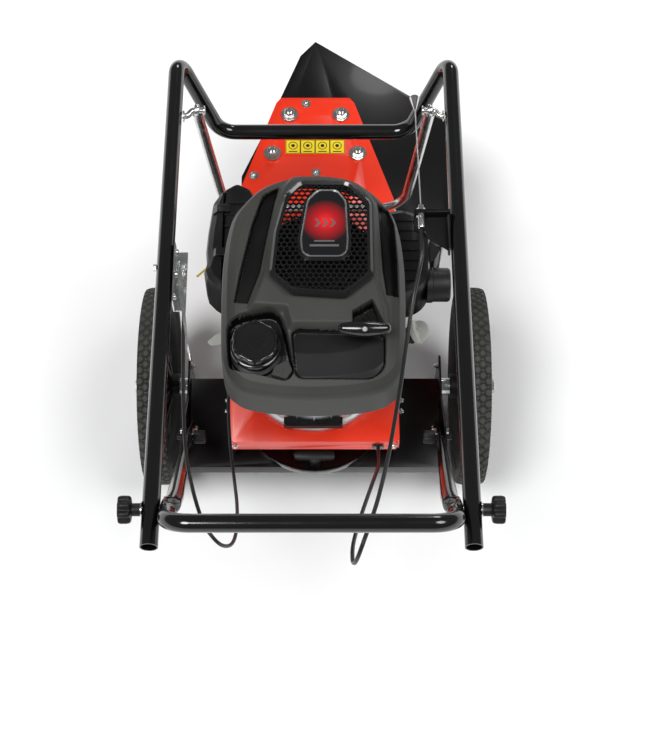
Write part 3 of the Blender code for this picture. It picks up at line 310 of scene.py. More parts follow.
def spline_points(points, steps):
    """Points along a smooth curve, from the second of the points to the last but one."""
    dense = []
    for a, b, c, d in zip(points, points[1:], points[2:], points[3:]):
        for k in range(steps):
            t = k / steps
            dense.append(0.5 * (2 * b + (c - a) * t + (2 * a - 5 * b + 4 * c - d) * t * t
                                + (3 * b - a - 3 * c + d) * t ** 3))
    return dense


def smooth_route(points, spacing):
    """A smooth curve through all the points, thinned to about the spacing."""
    pts = [Vector(p) for p in points]
    dense = spline_points([2 * pts[0] - pts[1], *pts, 2 * pts[-1] - pts[-2]], 20) + [pts[-1]]
    step = max(1, int(spacing / ((dense[1] - dense[0]).length + 1e-9)))
    return dense[::step] + ([dense[-1]] if (len(dense) - 1) % step else [])


def mirrored(points):
    """The points, and then the same ones at -x in the opposite order."""
    return [*points, *[(-p[0], *p[1:]) for p in reversed(points)]]


def polygon_gap(px, py, outline):
    """Signed distance from points to an outline: negative inside."""
    poly = np.array(outline, float)
    best = np.full(px.shape, 1e9)
    inside = np.zeros(px.shape, bool)
    for (x0, y0), (x1, y1) in zip(poly, np.roll(poly, -1, axis=0)):
        ex, ey = x1 - x0, y1 - y0
        t = np.clip(((px - x0) * ex + (py - y0) * ey) / (ex * ex + ey * ey + 1e-12), 0, 1)
        best = np.minimum(best, np.hypot(px - x0 - t * ex, py - y0 - t * ey))
        crosses = ((y0 > py) != (y1 > py)) & (px < ex * (py - y0) / (ey + 1e-12) + x0)
        inside ^= crosses
    return np.where(inside, -best, best)


def soft_step(gap, width):
    """1 inside an outline, 0 outside it, with a smooth change of the given width."""
    t = np.clip(0.5 - gap / width, 0, 1)
    return t * t * (3 - 2 * t)


def grow(outline, amount):
    """An outline moved outwards by the amount along its corner normals."""
    pts = [Vector(p) for p in outline]
    area = sum(a.x * b.y - b.x * a.y for a, b in zip(pts, pts[1:] + pts[:1]))
    turn_sign = 1 if area > 0 else -1
    out = []
    for i, p in enumerate(pts):
        a = (p - pts[i - 1]).normalized()
        b = (pts[(i + 1) % len(pts)] - p).normalized()
        na, nb = Vector((a.y, -a.x)) * turn_sign, Vector((b.y, -b.x)) * turn_sign
        mid = (na + nb).normalized()
        out.append(tuple(p + mid * (amount / max(0.35, mid.dot(na)))))
    return out


def round_corners(outline, radius, steps=5):
    """The outline with a curve in place of each corner."""
    pts = [Vector(p) for p in outline]
    out = []
    for i, p in enumerate(pts):
        a, b = pts[i - 1] - p, pts[(i + 1) % len(pts)] - p
        r = min(radius, a.length * 0.45, b.length * 0.45)
        s, e = p + a.normalized() * r, p + b.normalized() * r
        for k in range(steps + 1):
            t = k / steps
            out.append(tuple(s * (1 - t) ** 2 + p * 2 * t * (1 - t) + e * t * t))
    return out


def upper_point(distance):
    """The (y, z) of the folded upper tube's axis at a distance in front of the pivot."""
    return (PIVOT.y + distance * cos(FOLD_SLOPE), PIVOT.z - distance * sin(FOLD_SLOPE))


# ---- tubes ----
def make_upper_handle():
    back, apex = upper_point(-0.0487), upper_point(0.699)
    corners = mirrored([(-UPPER_X, *back), (-UPPER_X, *apex), (-0.139, 0.196, 0.464)])
    path = rounded_path(corners, [0.024, 0.034, 0.034, 0.024])
    bm = sweep(bmesh.new(), path, TUBE_R, 32)
    handle = piece("upper_handle_tube", bm, "black", "upper_handle", "upper_handle", 50)
    bores = bmesh.new()
    for side in (-1, 1):
        start = Vector((side * UPPER_X, *upper_point(-0.06)))
        reach = Vector((side * UPPER_X, *upper_point(-0.03))) - start
        turn(bores, rod(0.0096, 0.0, reach.length), start, reach, 28)
    cut(handle, bores)


def cut(obj, bm):
    """Cuts the bmesh's solids from the object and applies it."""
    cutter = add_object("cutter", finished_mesh("cutter", bm))
    modifier = obj.modifiers.new("cut", "BOOLEAN")
    modifier.operation = "DIFFERENCE"
    modifier.object = cutter
    bpy.context.view_layer.update()
    graph = bpy.context.evaluated_depsgraph_get()
    result = bpy.data.meshes.new_from_object(obj.evaluated_get(graph))
    obj.modifiers.remove(modifier)
    obj.data = result
    bpy.data.objects.remove(cutter)


def make_lower_handle():
    cross, foot = PIVOT - LEG_DIR * 0.069, PIVOT + LEG_DIR * 0.552
    span = foot - cross
    corners = [Vector((-0.18, foot.y, foot.z))]
    for along in (0.992, 0.93, 0.9, 0.88, 0.85, 0.82, 0.22, 0.175, 0.15, 0.139, 0.128, 0.111, 0.094,
                  0.084, 0.075):
        x = -0.18 if along > 0.8 else -LOWER_X
        corners.append(Vector((x, cross.y + span.y * along, cross.z + span.z * along)))
    bend = rounded_path([corners[-1], (-LOWER_X, cross.y, cross.z), (0, cross.y, cross.z)], [0.03])
    path = mirrored(corners[:-1] + bend[:-1])

    def flatten(point):
        """Flat sides where the leg meets the upper tube, and at its foot."""
        along = (point - cross).dot(LEG_DIR)
        side = -1.0 if point.x < 0 else 1.0
        near = max(0.0, 1.0 - max(0.0, abs(along - 0.069) - 0.011) / 0.012)
        foot_near = min(1.0, max(0.0, (along - 0.485) / 0.03))
        if foot_near > 0:
            return (1 - 0.55 * foot_near, 1 + 0.25 * foot_near, side * 0.0072 * foot_near)
        return (1 - 0.58 * near, 1 + 0.28 * near, side * 0.0063 * near)
    bm = sweep(bmesh.new(), path, TUBE_R, 32, flatten)
    piece("lower_handle_tube", bm, "black", "chassis", "lower_handle", 50)


def make_bail():
    top, low = BAIL + BAIL_DIR * 0.0065, BAIL + BAIL_DIR * 0.277
    corners = mirrored([(-0.1615, top.y, top.z), (-0.137, low.y, low.z)])
    bm = sweep(bmesh.new(), rounded_path(corners, [0.05, 0.05]), BAIL_R * 0.98, 20,
               lambda p: (1.0, 0.86, 0.0))
    for side in (-1, 1):
        turn(bm, ((0.0048, -0.003), (0.0085, -0.003), (0.0092, -0.0015), (0.0092, 0.0015),
                  (0.0085, 0.003), (0.0048, 0.003)), (side * 0.1615, BAIL.y, BAIL.z), (1, 0, 0), 28)
    piece("bail_bar", bm, "zinc", "bail", "bail", 50)
    for side, word in SIDES:
        bm = bmesh.new()
        bend = [(0.1811, -0.009), (0.179, -0.009), (0.176, -0.0086), (0.173, -0.0068), (0.1705, -0.0034),
                (0.1685, -0.0006), (0.1665, 0.0), (0.16, 0.0), (0.1528, 0.0)]
        sweep(bm, [(side * x, BAIL.y + y, BAIL.z) for x, y in bend], 0.0043, 20)
        turn(bm, ((0.0, -0.0008), (0.0065, 0.0), (0.007, 0.0012), (0.0068, 0.0022), (0.0, 0.003)),
             (side * 0.1526, BAIL.y, BAIL.z), (-side, 0, 0), 24)
        turn(bm, collar(0.0043, 0.0078, 0.0, 0.002),
             (side * 0.1806, BAIL.y - 0.009, BAIL.z), (-side, 0, 0), 24)
        piece("bail_hook_" + word, bm, "zinc", "upper_handle", "bail_pin_" + word, 40)


def knob_rings(start_x, side, stations, flutes, centre, sides=84):
    """Fluted rings along X, from stations of offset, radius and flute depth."""
    rings = []
    for offset, radius, depth in stations:
        ring = []
        for a in angles(sides):
            r = radius * (1.0 - depth * 0.5 * (1.0 - cos(flutes * a)) ** 1.6 / 2 ** 0.6)
            ring.append(Vector((side * (start_x + offset), centre[0] + r * cos(a), centre[1] + r * sin(a))))
        rings.append(ring)
    return rings


def make_knobs():
    for side, word in SIDES:
        start = UPPER_X + TUBE_R + 0.0003
        stations = ((0.0, 0.0074, 0.0), (0.0008, 0.0079, 0.0), (0.0112, 0.0079, 0.0), (0.012, 0.012, 0.06),
                    (0.0126, 0.0152, 0.14), (0.014, 0.017, 0.19), (0.0165, 0.0177, 0.2),
                    (0.024, 0.0178, 0.2), (0.0262, 0.0172, 0.19), (0.0275, 0.0158, 0.14),
                    (0.028, 0.012, 0.06), (0.0276, 0.006, 0.0), (0.0274, 0.001, 0.0))
        bm = bmesh.new()
        skin(bm, knob_rings(start, side, stations, 8, (PIVOT.y, PIVOT.z)))
        piece("star_knob_" + word, bm, "plastic", "fold_knob_" + word, "fold_knob_" + word, 40)
        bm = bmesh.new()
        turn(bm, ((0.0, 0.0), (0.004, 0.0003), (0.0066, 0.0018), (0.0078, 0.0042), (0.0078, 0.0056),
                  (0.004, 0.0058), (0.004, 0.05), (0.0, 0.05)), (side * 0.165, PIVOT.y, PIVOT.z),
             (side, 0, 0), 32)
        turn(bm, collar(0.0045, 0.0098, 0.0, 0.0014), (side * 0.2032, PIVOT.y, PIVOT.z), (side, 0, 0), 32)
        piece("carriage_bolt_" + word, bm, "zinc", "chassis", "fold_bolt_" + word, 40)
        bm = bmesh.new()
        turn(bm, ((0.0, 0.0), (0.0035, 0.0004), (0.0066, 0.0022), (0.008, 0.0046), (0.0085, 0.0062),
                  (0.004, 0.0064), (0.004, 0.03), (0.0, 0.03)), (side * 0.1745, -0.172, 0.2035),
             (side, 0, 0), 32)
        piece("leg_dome_nut_" + word, bm, "zinc", "chassis", "leg_bolt_" + word, 40)
        bm = bmesh.new()
        stations = ((0.0, 0.0072, 0.0), (0.0006, 0.0086, 0.04), (0.002, 0.0098, 0.1), (0.0165, 0.01, 0.1),
                    (0.0182, 0.0088, 0.05), (0.0187, 0.0044, 0.0), (0.019, 0.004, 0.0), (0.043, 0.004, 0.0))
        skin(bm, knob_rings(0.162, side, stations, 16, (-0.2, 0.2455), 96))
        piece("ribbed_leg_knob_" + word, bm, "plastic", "leg_knob_" + word, "leg_knob_" + word, 40)


# ---- wheels ----
# A spoke's section, as shares of its half width and half depth.
SPOKE = [(1, 0.7), (0.7, 1), (-0.7, 1), (-1, 0.7), (-1, -0.7), (-0.7, -1), (0.7, -1), (1, -0.7)]


def make_tyre(side, word):
    across = [-1.0 + 2.0 * k / 26 for k in range(27)]
    lugs, slant, steps = 56, 1.3, 672
    wall = [(0.985, 0.011), (1.0, 0.0165), (0.985, 0.0215), (0.9, 0.0262), (0.7, 0.0297), (0.0, 0.03)]
    rings = []
    for a in angles(steps):
        section = []
        for u in across:
            p = (a * lugs / (2 * pi) + u * slant) % 1.0
            q = (a * lugs / (2 * pi) - u * slant) % 1.0
            gap = min(p, 1 - p, q, 1 - q)
            groove = 0.0042 * min(1.0, max(0.0, 2.0 - gap / 0.08))
            section.append((u * 0.93, 0.0002 + 0.003 * abs(u) ** 4 + groove))
        section += wall + [(-u, depth) for u, depth in reversed(wall[:-1])]
        rings.append([Vector((side * (TYRE_MID + u * TYRE_HALF), AXLE_Y + (WHEEL_R - depth) * sin(a),
                              AXLE_Z - (WHEEL_R - depth) * cos(a))) for u, depth in section])
    bm = bmesh.new()
    skin(bm, rings, closed_loop=True)
    piece("tyre_tread_" + word, bm, "rubber", "wheel_" + word, "tyre_" + word, 38)


def make_rim(side, word):
    bm, axis, centre, mid = bmesh.new(), (side, 0, 0), Vector((0, AXLE_Y, AXLE_Z)), TYRE_MID
    rim = WHEEL_R - 0.0303
    turn(bm, ((0.0063, 0.2125), (0.0185, 0.2125), (0.0195, 0.2135), (0.0195, 0.264), (0.0175, 0.2735),
              (0.0063, 0.274)), centre, axis, 64)
    half = [(0.013, 0.0085), (0.006, 0.015), (0.0, 0.0157), (-0.001, 0.0175), (0.002, 0.0185),
            (0.011, 0.014), (0.017, 0.006)]
    turn(bm, [(rim - depth, mid - wide) for depth, wide in half]
         + [(rim - depth, mid + wide) for depth, wide in reversed(half)], centre, axis, 96)
    for a in angles(10):
        out, flank = Vector((0, cos(a), sin(a))), Vector((0, -sin(a), cos(a)))
        hub, tip = centre + out * 0.017, centre + out * (rim - 0.014)
        skin(bm, [[point + flank * (wide * c) + Vector((side * (mid + deep * d), 0, 0)) for c, d in SPOKE]
                  for point, wide, deep in ((hub, 0.0085, 0.019), (hub.lerp(tip, 0.45), 0.0062, 0.011),
                                            (tip, 0.01, 0.0065))])
    piece("spoked_rim_" + word, bm, "plastic", "wheel_" + word, "wheel_rim_" + word, 35)


def make_axle(side, word):
    bm, axis, centre = bmesh.new(), (side, 0, 0), (0, AXLE_Y, AXLE_Z)
    turn(bm, ((0.0, 0.184), (0.0052, 0.1842), (0.006, 0.185), (0.006, 0.2743), (0.0, 0.2743)),
         centre, axis, 28)
    turn(bm, ((0.006, 0.1857), (0.009, 0.1857), (0.0103, 0.1866), (0.0103, 0.1915), (0.006, 0.1915)),
         centre, axis, 6)
    turn(bm, collar(0.006, 0.013, 0.1958, 0.2122), centre, axis, 36)
    turn(bm, collar(0.006, 0.0125, 0.2743, 0.2757), centre, axis, 36)
    turn(bm, ((0.0, 0.2757), (0.0108, 0.2757), (0.0108, 0.2822), (0.0095, 0.2833), (0.0, 0.2834)),
         centre, axis, 6)
    piece("axle_" + word, bm, "zinc", "chassis", "axle_bolt_" + word, 35)


# ---- deck fittings ----
def hex_bolt(bm, x, y, z, size, stud=True, axis=(0, 0, 1)):
    """Washer, hexagon nut and stud end standing on a surface."""
    at = Vector((x, y, z))
    turn(bm, ((0.0, 0.0), (size * 1.55, 0.0), (size * 1.58, size * 0.1), (size * 1.5, size * 0.24),
              (0.0, size * 0.24)), at, axis, 36)
    turn(bm, ((0.0, size * 0.2), (size, size * 0.2), (size, size * 0.95), (size * 0.86, size * 1.08),
              (0.0, size * 1.08)), at, axis, 6, 0.3)
    if stud:
        turn(bm, ((0.0, size), (size * 0.52, size), (size * 0.52, size * 1.55), (size * 0.4, size * 1.72),
                  (0.0, size * 1.72)), at, axis, 20)


def make_deck_details():
    n = 0
    for x, y in ((0.042, 0.366), (0.069, 0.291)):
        for side in (-1, 1):
            n += 1
            bm = bmesh.new()
            at = (side * x, y, DECK_TOP + 0.0003)
            turn(bm, rod(0.0048, 0.2365, 0.264), (side * x, y, 0), sides=16)
            turn(bm, ((0.0, 0.0), (0.014, 0.0), (0.0143, 0.0008), (0.0138, 0.0024), (0.0, 0.0024)), at,
                 sides=40)
            turn(bm, ((0.0, 0.0024), (0.01, 0.0024), (0.0104, 0.0032), (0.01, 0.004), (0.0, 0.004)), at,
                 sides=32)
            turn(bm, topped(0.0092, 0.004, 0.0098, 0.008, 0.0112), at, sides=6, phase=0.4 * n)
            turn(bm, topped(0.0047, 0.01, 0.0146, 0.0036, 0.0157), at, sides=20)
            piece("deck_bolt_%d" % n, bm, "zinc", "chassis", "spindle_bolt_%d" % n, 32)
    bm = bmesh.new()
    for x, y in ((-0.015, 0.388), (-0.098, 0.249), (0.0016, 0.2546)):
        hex_bolt(bm, x, y, DECK_TOP, 0.005)
    for side in (-1, 1):
        for y in (-0.1414, -0.159):
            hex_bolt(bm, side * 0.1265, y, 0.248, 0.0048, axis=(side, 0, 0))
        hex_bolt(bm, side * 0.118, -0.215, 0.247, 0.0032, stud=False, axis=(0, -1, 0))
        for y, z in ((-0.06, 0.2), (-0.214, 0.262)):
            hex_bolt(bm, side * 0.1925, y, z, 0.004, axis=(-side, 0, 0))
    piece("small_bolts", bm, "zinc", "chassis", angle=32)

    bm = bmesh.new()
    block(bm, (-0.048, 0.2905, DECK_TOP + 0.0001), (0.048, 0.3175, DECK_TOP + 0.0005))
    piece("deck_label", bm, "yellow", "chassis")
    bm = bmesh.new()
    top, low = DECK_TOP + 0.0004, DECK_TOP + 0.0007
    for k in range(4):
        x = -0.0476 + 0.0238 * k
        cell = [(x, 0.2909), (x + 0.0238, 0.2909), (x + 0.0238, 0.3171), (x, 0.3171)]
        inner = grow(cell, -0.0009)
        for i in range(4):
            j = (i + 1) % 4
            extrude(bm, [cell[i], cell[j], inner[j], inner[i]], top, low)
        mark = (x + 0.0119, 0.306, top)
        turn(bm, collar(0.0062, 0.0074, 0.0, 0.0003), mark, sides=32)
        turn(bm, rod(0.003, 0.0, 0.0003), mark, sides=24)
        block(bm, (x + 0.005, 0.2938, top), (x + 0.0188, 0.2955, low))
    piece("deck_label_marks", bm, "ink", "chassis")

    bm = bmesh.new()
    turn(bm, ((0.003, 0.0), (0.0085, 0.0), (0.0085, 0.002), (0.007, 0.0035), (0.003, 0.0035)),
         (0.095, -0.215, 0.2465), (0, -1, 0), 28)
    piece("cable_grommet", bm, "gloss", "chassis")


# ---- engine ----
SCREEN = [(-0.019, 0.059), (0.048, 0.0585), (0.078, 0.025), (0.0785, -0.088), (0.043, -0.118),
          (-0.029, -0.113), (-0.057, -0.086), (-0.0515, -0.021), (-0.0375, 0.039)]
BADGE = [(0.0055, 0.043), (0.032, 0.043), (0.0455, 0.025), (0.048, -0.036), (0.047, -0.056),
         (0.038, -0.064), (-0.008, -0.064), (-0.0165, -0.056), (-0.018, -0.036), (-0.0085, 0.027)]
FUEL_POCKET = [(-0.117, -0.145), (-0.0985, -0.134), (-0.057, -0.129), (-0.045, -0.137), (-0.037, -0.16),
               (-0.026, -0.212), (-0.0355, -0.224), (-0.056, -0.219), (-0.113, -0.206)]


SPINE = [(-0.03, 0.082), (0.06, 0.08), (0.086, 0.034), (0.088, -0.09), (0.099, -0.128), (0.1, -0.154),
         (-0.031, -0.154), (-0.038, -0.13), (-0.086, -0.126), (-0.066, -0.074), (-0.06, -0.025),
         (-0.053, 0.033)]
SIDE_SLOTS = ([(-0.05, 0.06), (-0.07, 0.05), (-0.085, 0.0), (-0.1, -0.07), (-0.108, -0.115),
               (-0.09, -0.118), (-0.074, -0.074), (-0.066, -0.025)],
              [(0.09, 0.037), (0.104, 0.035), (0.112, 0.008), (0.115, -0.045), (0.116, -0.105),
               (0.101, -0.105), (0.096, -0.07)])
WELL = [(-0.03, -0.156), (0.038, -0.158), (0.098, -0.16), (0.097, -0.208), (0.08, -0.222), (-0.024, -0.222)]
ROPE_SLOT = [(0.054, -0.135), (0.08, -0.119), (0.095, -0.15), (0.09, -0.157), (0.054, -0.155)]
# Each recess of the shroud's top: its outline, its depth and the width of its edge.
RECESSES = [*[(slot, 0.011, 0.0035) for slot in SIDE_SLOTS], (round_corners(WELL, 0.012), 0.0075, 0.005),
            (round_corners(FUEL_POCKET, 0.008), 0.02, 0.006), (ROPE_SLOT, 0.02, 0.003)]
SHROUD_FRONT, SHROUD_LENGTH, SHROUD_MID = 0.094, 0.339, -0.075


def shroud_outline(count):
    """The x and y of evenly spaced points round the shroud, seen from above."""
    right = [(0.0, -0.245), (0.07, -0.24), (0.105, -0.228), (0.123, -0.2), (0.127, -0.13),
             (0.1265, -0.05), (0.118, 0.015), (0.1, 0.048), (0.072, 0.076), (0.03, 0.092), (0.0, 0.094)]
    points = [Vector((x, y, 0)) for x, y in right + [(-x, y) for x, y in reversed(right[1:-1])]]
    dense = spline_points([points[-1], *points, *points[:2]], 24)
    dense.append(dense[0])
    lengths = [0.0]
    for p, q in zip(dense, dense[1:]):
        lengths.append(lengths[-1] + (q - p).length)
    even = np.linspace(0, lengths[-1], count, endpoint=False)
    return np.interp(even, lengths, [p.x for p in dense]), np.interp(even, lengths, [p.y for p in dense])


def rearward(y):
    """0 at the shroud's front end, 1 at its rear end."""
    return np.clip((SHROUD_FRONT - y) / SHROUD_LENGTH, 0, 1)


def shroud_height(x, y, s):
    """Top surface of the shroud, s being 0 at its middle and 1 at its edge: a dome with a raised spine."""
    marks = [0.0, 0.66, 0.84, 0.93, 0.985, 1.0]
    z = np.interp(s, marks, [0.535, 0.533, 0.528, 0.519, 0.504, 0.492])
    z = z - np.interp(s, marks, [0.036, 0.036, 0.033, 0.027, 0.018, 0.012]) * rearward(y) ** 2
    z = z + 0.009 * soft_step(polygon_gap(x, y, SPINE), 0.011) * np.clip((1.0 - s) / 0.12, 0, 1)
    for outline, depth, edge in RECESSES:
        z = z - depth * soft_step(polygon_gap(x, y, outline), edge)
    return z


def make_shroud():
    count, rings, skirt = 440, 150, 8
    ox, oy = shroud_outline(count)
    levels = []
    for k in range(rings):
        s = 0.02 + 0.98 * (k / (rings - 1)) ** 0.85
        x, y = ox * s, SHROUD_MID + (oy - SHROUD_MID) * s
        z = shroud_height(x, y, np.full(count, s))
        levels.append([Vector(p) for p in zip(x, y, z)])
    edge = levels[-1]
    t = rearward(oy)
    bottom = 0.442 - 0.018 * t * t + 0.03 * (1 - t) ** 2
    for k in range(1, skirt + 1):
        u = k / skirt
        flare = 1.0 + 0.004 * sin(pi * u * 0.5)
        levels.append([Vector((p.x * flare, SHROUD_MID + (p.y - SHROUD_MID) * flare, p.z + (b - p.z) * u))
                       for p, b in zip(edge, bottom)])
    bm = bmesh.new()
    skin(bm, levels[::-1], caps=False)
    bm.verts.ensure_lookup_table()
    bm.faces.new(bm.verts[-count:])
    shroud = piece("engine_shroud", bm, "shroud", "chassis", "engine_cover", 60)
    wall = shroud.modifiers.new("wall", "SOLIDIFY")
    wall.thickness = 0.0024
    wall.offset = -1.0
    cut(shroud, extrude(bmesh.new(), grow(SCREEN, -0.002), 0.4, 0.6))
    shroud.modifiers.clear()
    mesh = shroud.data
    mesh.shade_smooth()
    mesh.set_sharp_from_angle(angle=radians(42))
    mesh.materials.clear()
    mesh.materials.append(MAT["shroud"])
    mesh.materials.append(MAT["shade"])
    # Faces inside the recesses take the darker material, which is painted shade in the hollows.
    centres = np.array([face.center for face in mesh.polygons])
    dark = np.zeros(len(centres), bool)
    for outline, _, _ in RECESSES:
        dark |= polygon_gap(centres[:, 0], centres[:, 1], outline) < 0.0004
    dark &= centres[:, 2] > 0.47
    mesh.polygons.foreach_set("material_index", dark.astype(np.int32))


def make_screen():
    """Honeycomb with real holes: each cell is a top face's rim and the wall of its hole."""
    pitch, hole, low, high = 0.008, 0.0034, 0.54, 0.5436
    badge = grow(BADGE, -0.004)
    corners = [(cos(a), sin(a)) for a in angles(6, 0.5)]
    bm = bmesh.new()
    for row in range(-18, 11):
        for col in range(-9, 12):
            x, y = (col + 0.5 * (row % 2)) * pitch, row * pitch * sqrt(3) / 2
            at = np.array([x]), np.array([y])
            if polygon_gap(*at, SCREEN)[0] > -0.001 or polygon_gap(*at, badge)[0] < -0.004:
                continue
            skin(bm, [[Vector((x + r * c, y + r * s, z)) for c, s in corners]
                      for r, z in ((pitch / sqrt(3), high), (hole * 1.12, high), (hole, high - 0.0006),
                                   (hole, low))], caps=False)
    piece("honeycomb_screen", bm, "gloss", "chassis", "air_screen", 35)


def make_fan():
    bm, middle = bmesh.new(), Vector((0.006, -0.056))
    turn(bm, ((0.0, 0.47), (0.09, 0.47), (0.093, 0.473), (0.093, 0.49), (0.09, 0.492), (0.03, 0.492),
              (0.026, 0.5), (0.0, 0.501)), (*middle, 0), sides=72)
    for a in angles(20):
        out, flank = Vector((cos(a), sin(a))), Vector((-sin(a), cos(a))) * 0.0014
        root, tip = middle + out * 0.034, middle + out * 0.09
        extrude(bm, [root + flank, tip + flank * 8, tip + flank * 4, root - flank], 0.4915, 0.502)
    piece("cooling_fan", bm, "plastic", "chassis", angle=30)


def make_screen_frame():
    rim, ridge, inside = [round_corners(grow(SCREEN, by), 0.006) for by in (0.003, -0.0005, -0.0045)]
    bm = bmesh.new()
    skin(bm, layers((rim, 0.536), (rim, 0.5425), (ridge, 0.5462), (inside, 0.544), (inside, 0.539)),
         closed_loop=True)
    piece("screen_frame", bm, "gloss", "chassis", angle=30)


def make_badge():
    foot, outer, ridge, inner = [round_corners(grow(BADGE, amount), 0.006)
                                 for amount in (0.004, 0.0, -0.0012, -0.0024)]
    bm = bmesh.new()
    skin(bm, layers((foot, 0.538), (foot, 0.545), (outer, 0.548), (outer, 0.539)), closed_loop=True)
    piece("badge_mount", bm, "gloss", "chassis", angle=30)
    bm = bmesh.new()
    skin(bm, layers((outer, 0.5475), (outer, 0.5496), (ridge, 0.5506), (inner, 0.5496), (inner, 0.5475)),
         closed_loop=True)
    piece("badge_rim", bm, "silver", "chassis", angle=30)
    piece("badge_panel", extrude(bmesh.new(), inner, 0.5478, 0.5492), "panel", "chassis")
    bm = bmesh.new()
    for half, low, high in ((0.02, -0.048, -0.0448), (0.014, -0.0405, -0.0383)):
        block(bm, (0.015 - half, low, 0.549), (0.015 + half, high, 0.5494))
    for x in (0.0015, 0.012, 0.0225):
        extrude(bm, [(x, -0.004), (x + 0.0035, -0.004), (x + 0.0085, -0.0105), (x + 0.0035, -0.017),
                     (x, -0.017), (x + 0.005, -0.0105)], 0.549, 0.5494)
    piece("badge_chevrons", bm, "silver", "chassis")


def make_fuel_cap():
    bm = bmesh.new()
    rings = []
    for z, radius, depth in (
            (0.0, 0.0225, 0.0), (0.0002, 0.0262, 0.0), (0.005, 0.0272, 0.0), (0.0062, 0.0338, 0.0),
            (0.0072, 0.0346, 0.0), (0.012, 0.0344, 0.0), (0.0132, 0.0334, 0.02), (0.0136, 0.0322, 0.05),
            (0.023, 0.0322, 0.07), (0.0252, 0.0316, 0.07), (0.0262, 0.0304, 0.05), (0.0266, 0.0286, 0.02),
            (0.0266, 0.0272, 0.0), (0.0252, 0.0262, 0.0), (0.025, 0.012, 0.0), (0.025, 0.001, 0.0)):
        ring = []
        for a in angles(120):
            r = radius * (1.0 - depth * (0.5 + 0.5 * cos(6 * a)) ** 3)
            ring.append(CAP + Vector((r * cos(a), r * sin(a), z)))
        rings.append(ring)
    skin(bm, rings)
    for a in angles(6, 0.5):
        at = CAP + Vector((0.0296 * cos(a), 0.0296 * sin(a), 0))
        turn(bm, topped(0.003, 0.015, 0.0266, 0.002, 0.0276), at, sides=14)
    for k in range(-2, 3):
        middle = CAP + Vector((k * 0.0042, k * 0.0042, 0.0252))
        half = Vector((1, -1, 0)) * (0.56 * sqrt(0.017 ** 2 - (k * 0.006) ** 2))
        sweep(bm, [middle - half, middle, middle + half], 0.0006, 8)
    piece("fuel_filler_cap", bm, "gloss", "fuel_cap", "fuel_cap", 40)
    bm = bmesh.new()
    turn(bm, ((0.03, -0.018), (0.036, -0.018), (0.035, -0.008), (0.03, -0.006)), CAP, sides=72)
    piece("filler_collar", bm, "plastic", "chassis")
    bm = bmesh.new()
    latch = [(-0.056, -0.218), (-0.052, -0.206), (-0.034, -0.196), (-0.028, -0.212), (-0.036, -0.224)]
    extrude(bm, round_corners(latch, 0.0015), 0.488, 0.501)
    extrude(bm, [(-0.05, -0.212), (-0.0485, -0.208), (-0.04, -0.211), (-0.0415, -0.215)], 0.5008, 0.5022)
    bevel(piece("tank_latch", bm, "shroud", "chassis", angle=30), 0.0008)


def make_recoil():
    bm, middle = bmesh.new(), GRIP + Vector((0.004, -0.004, 0.0055))
    path, radii = [], []
    for k in range(25):
        u = -1 + 2 * k / 24
        path.append(middle + Vector((u * 0.035, 0.0015 * u * u, 0)))
        radii.append(0.0112 - 0.0052 * abs(u) ** 1.6 if abs(u) < 0.97 else 0.0035)
    sweep(bm, path, radii, 24)
    neck = [GRIP + Vector(p) for p in ((0, 0.002, 0), (0.0015, 0.008, -0.002), (0.003, 0.0125, -0.005))]
    sweep(bm, neck, [0.0058, 0.005, 0.0034], 20)
    piece("recoil_grip", bm, "gloss", "recoil", "recoil_handle", 45)
    bm = bmesh.new()
    turn(bm, rod(0.0032, 0.0, 0.0006), GRIP + Vector((0.004, -0.009, 0.015)), (0, -0.4, 0.9), 20)
    piece("grip_rivet", bm, "silver", "recoil")
    start, end = Vector((0.073, -0.136, 0.515)), GRIP + Vector((0.002, 0.004, -0.001))
    bm = sweep(bmesh.new(), [start.lerp(end, k / 60) for k in range(61)], 0.0017, 12)
    rope = piece("starter_rope", bm, "cable", "chassis", angle=60, ride=False)
    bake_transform(rope)


def make_engine_block():
    bm = bmesh.new()
    turn(bm, ((0.0113, DECK_TOP + 0.0003), (0.103, DECK_TOP + 0.0003), (0.105, 0.2645), (0.105, 0.2715),
              (0.1035, 0.2735), (0.099, 0.2745), (0.0975, 0.279), (0.0955, 0.3), (0.0935, 0.34),
              (0.092, 0.369), (0.09, 0.372), (0.06, 0.39), (0.0113, 0.3925)), (0, CRANK_Y, 0), sides=120)
    for a in angles(12, 0.5):
        at = Vector((0.0985 * cos(a), CRANK_Y + 0.0985 * sin(a), 0.2735))
        turn(bm, topped(0.0055, 0.0, 0.003, 0.0042, 0.0042), at, sides=6)
    for a in angles(24):
        out, flank = Vector((cos(a), sin(a))), Vector((-sin(a), cos(a))) * 0.0011
        if sin(a) > 0.35:
            continue
        near, far = Vector((0, CRANK_Y)) + out * 0.088, Vector((0, CRANK_Y)) + out * 0.0985
        extrude(bm, [near + flank, far + flank, far - flank, near - flank], 0.276, 0.35)
    block(bm, (-0.045, -0.05, 0.295), (0.045, 0.06, 0.375))
    fin = round_corners([(-0.058, -0.004), (0.058, -0.004), (0.058, 0.058), (-0.058, 0.058)], 0.012)
    for k in range(8):
        z = 0.29 + 0.0125 * k
        extrude(bm, fin, z, z + 0.0022)
    head = round_corners([(-0.05, 0.058), (0.05, 0.058), (0.046, 0.078), (-0.046, 0.078)], 0.006)
    extrude(bm, head, 0.297, 0.373)
    turn(bm, rod(0.013, 0.0, 0.035), (0.0785, -0.0821, 0.2873), (0.868, 0.187, 0.46), 28)
    piece("engine_casting", bm, "alloy", "chassis", "engine_block", 32)
    bm = bmesh.new()
    block(bm, (-0.0445, -0.199, 0.276), (0.042, -0.187, 0.29))
    block(bm, (-0.042, -0.2005, 0.2785), (0.039, -0.198, 0.288))
    block(bm, (-0.025, -0.188, 0.276), (0.025, -0.178, 0.32))
    piece("governor_bar", bm, "plastic", "chassis")


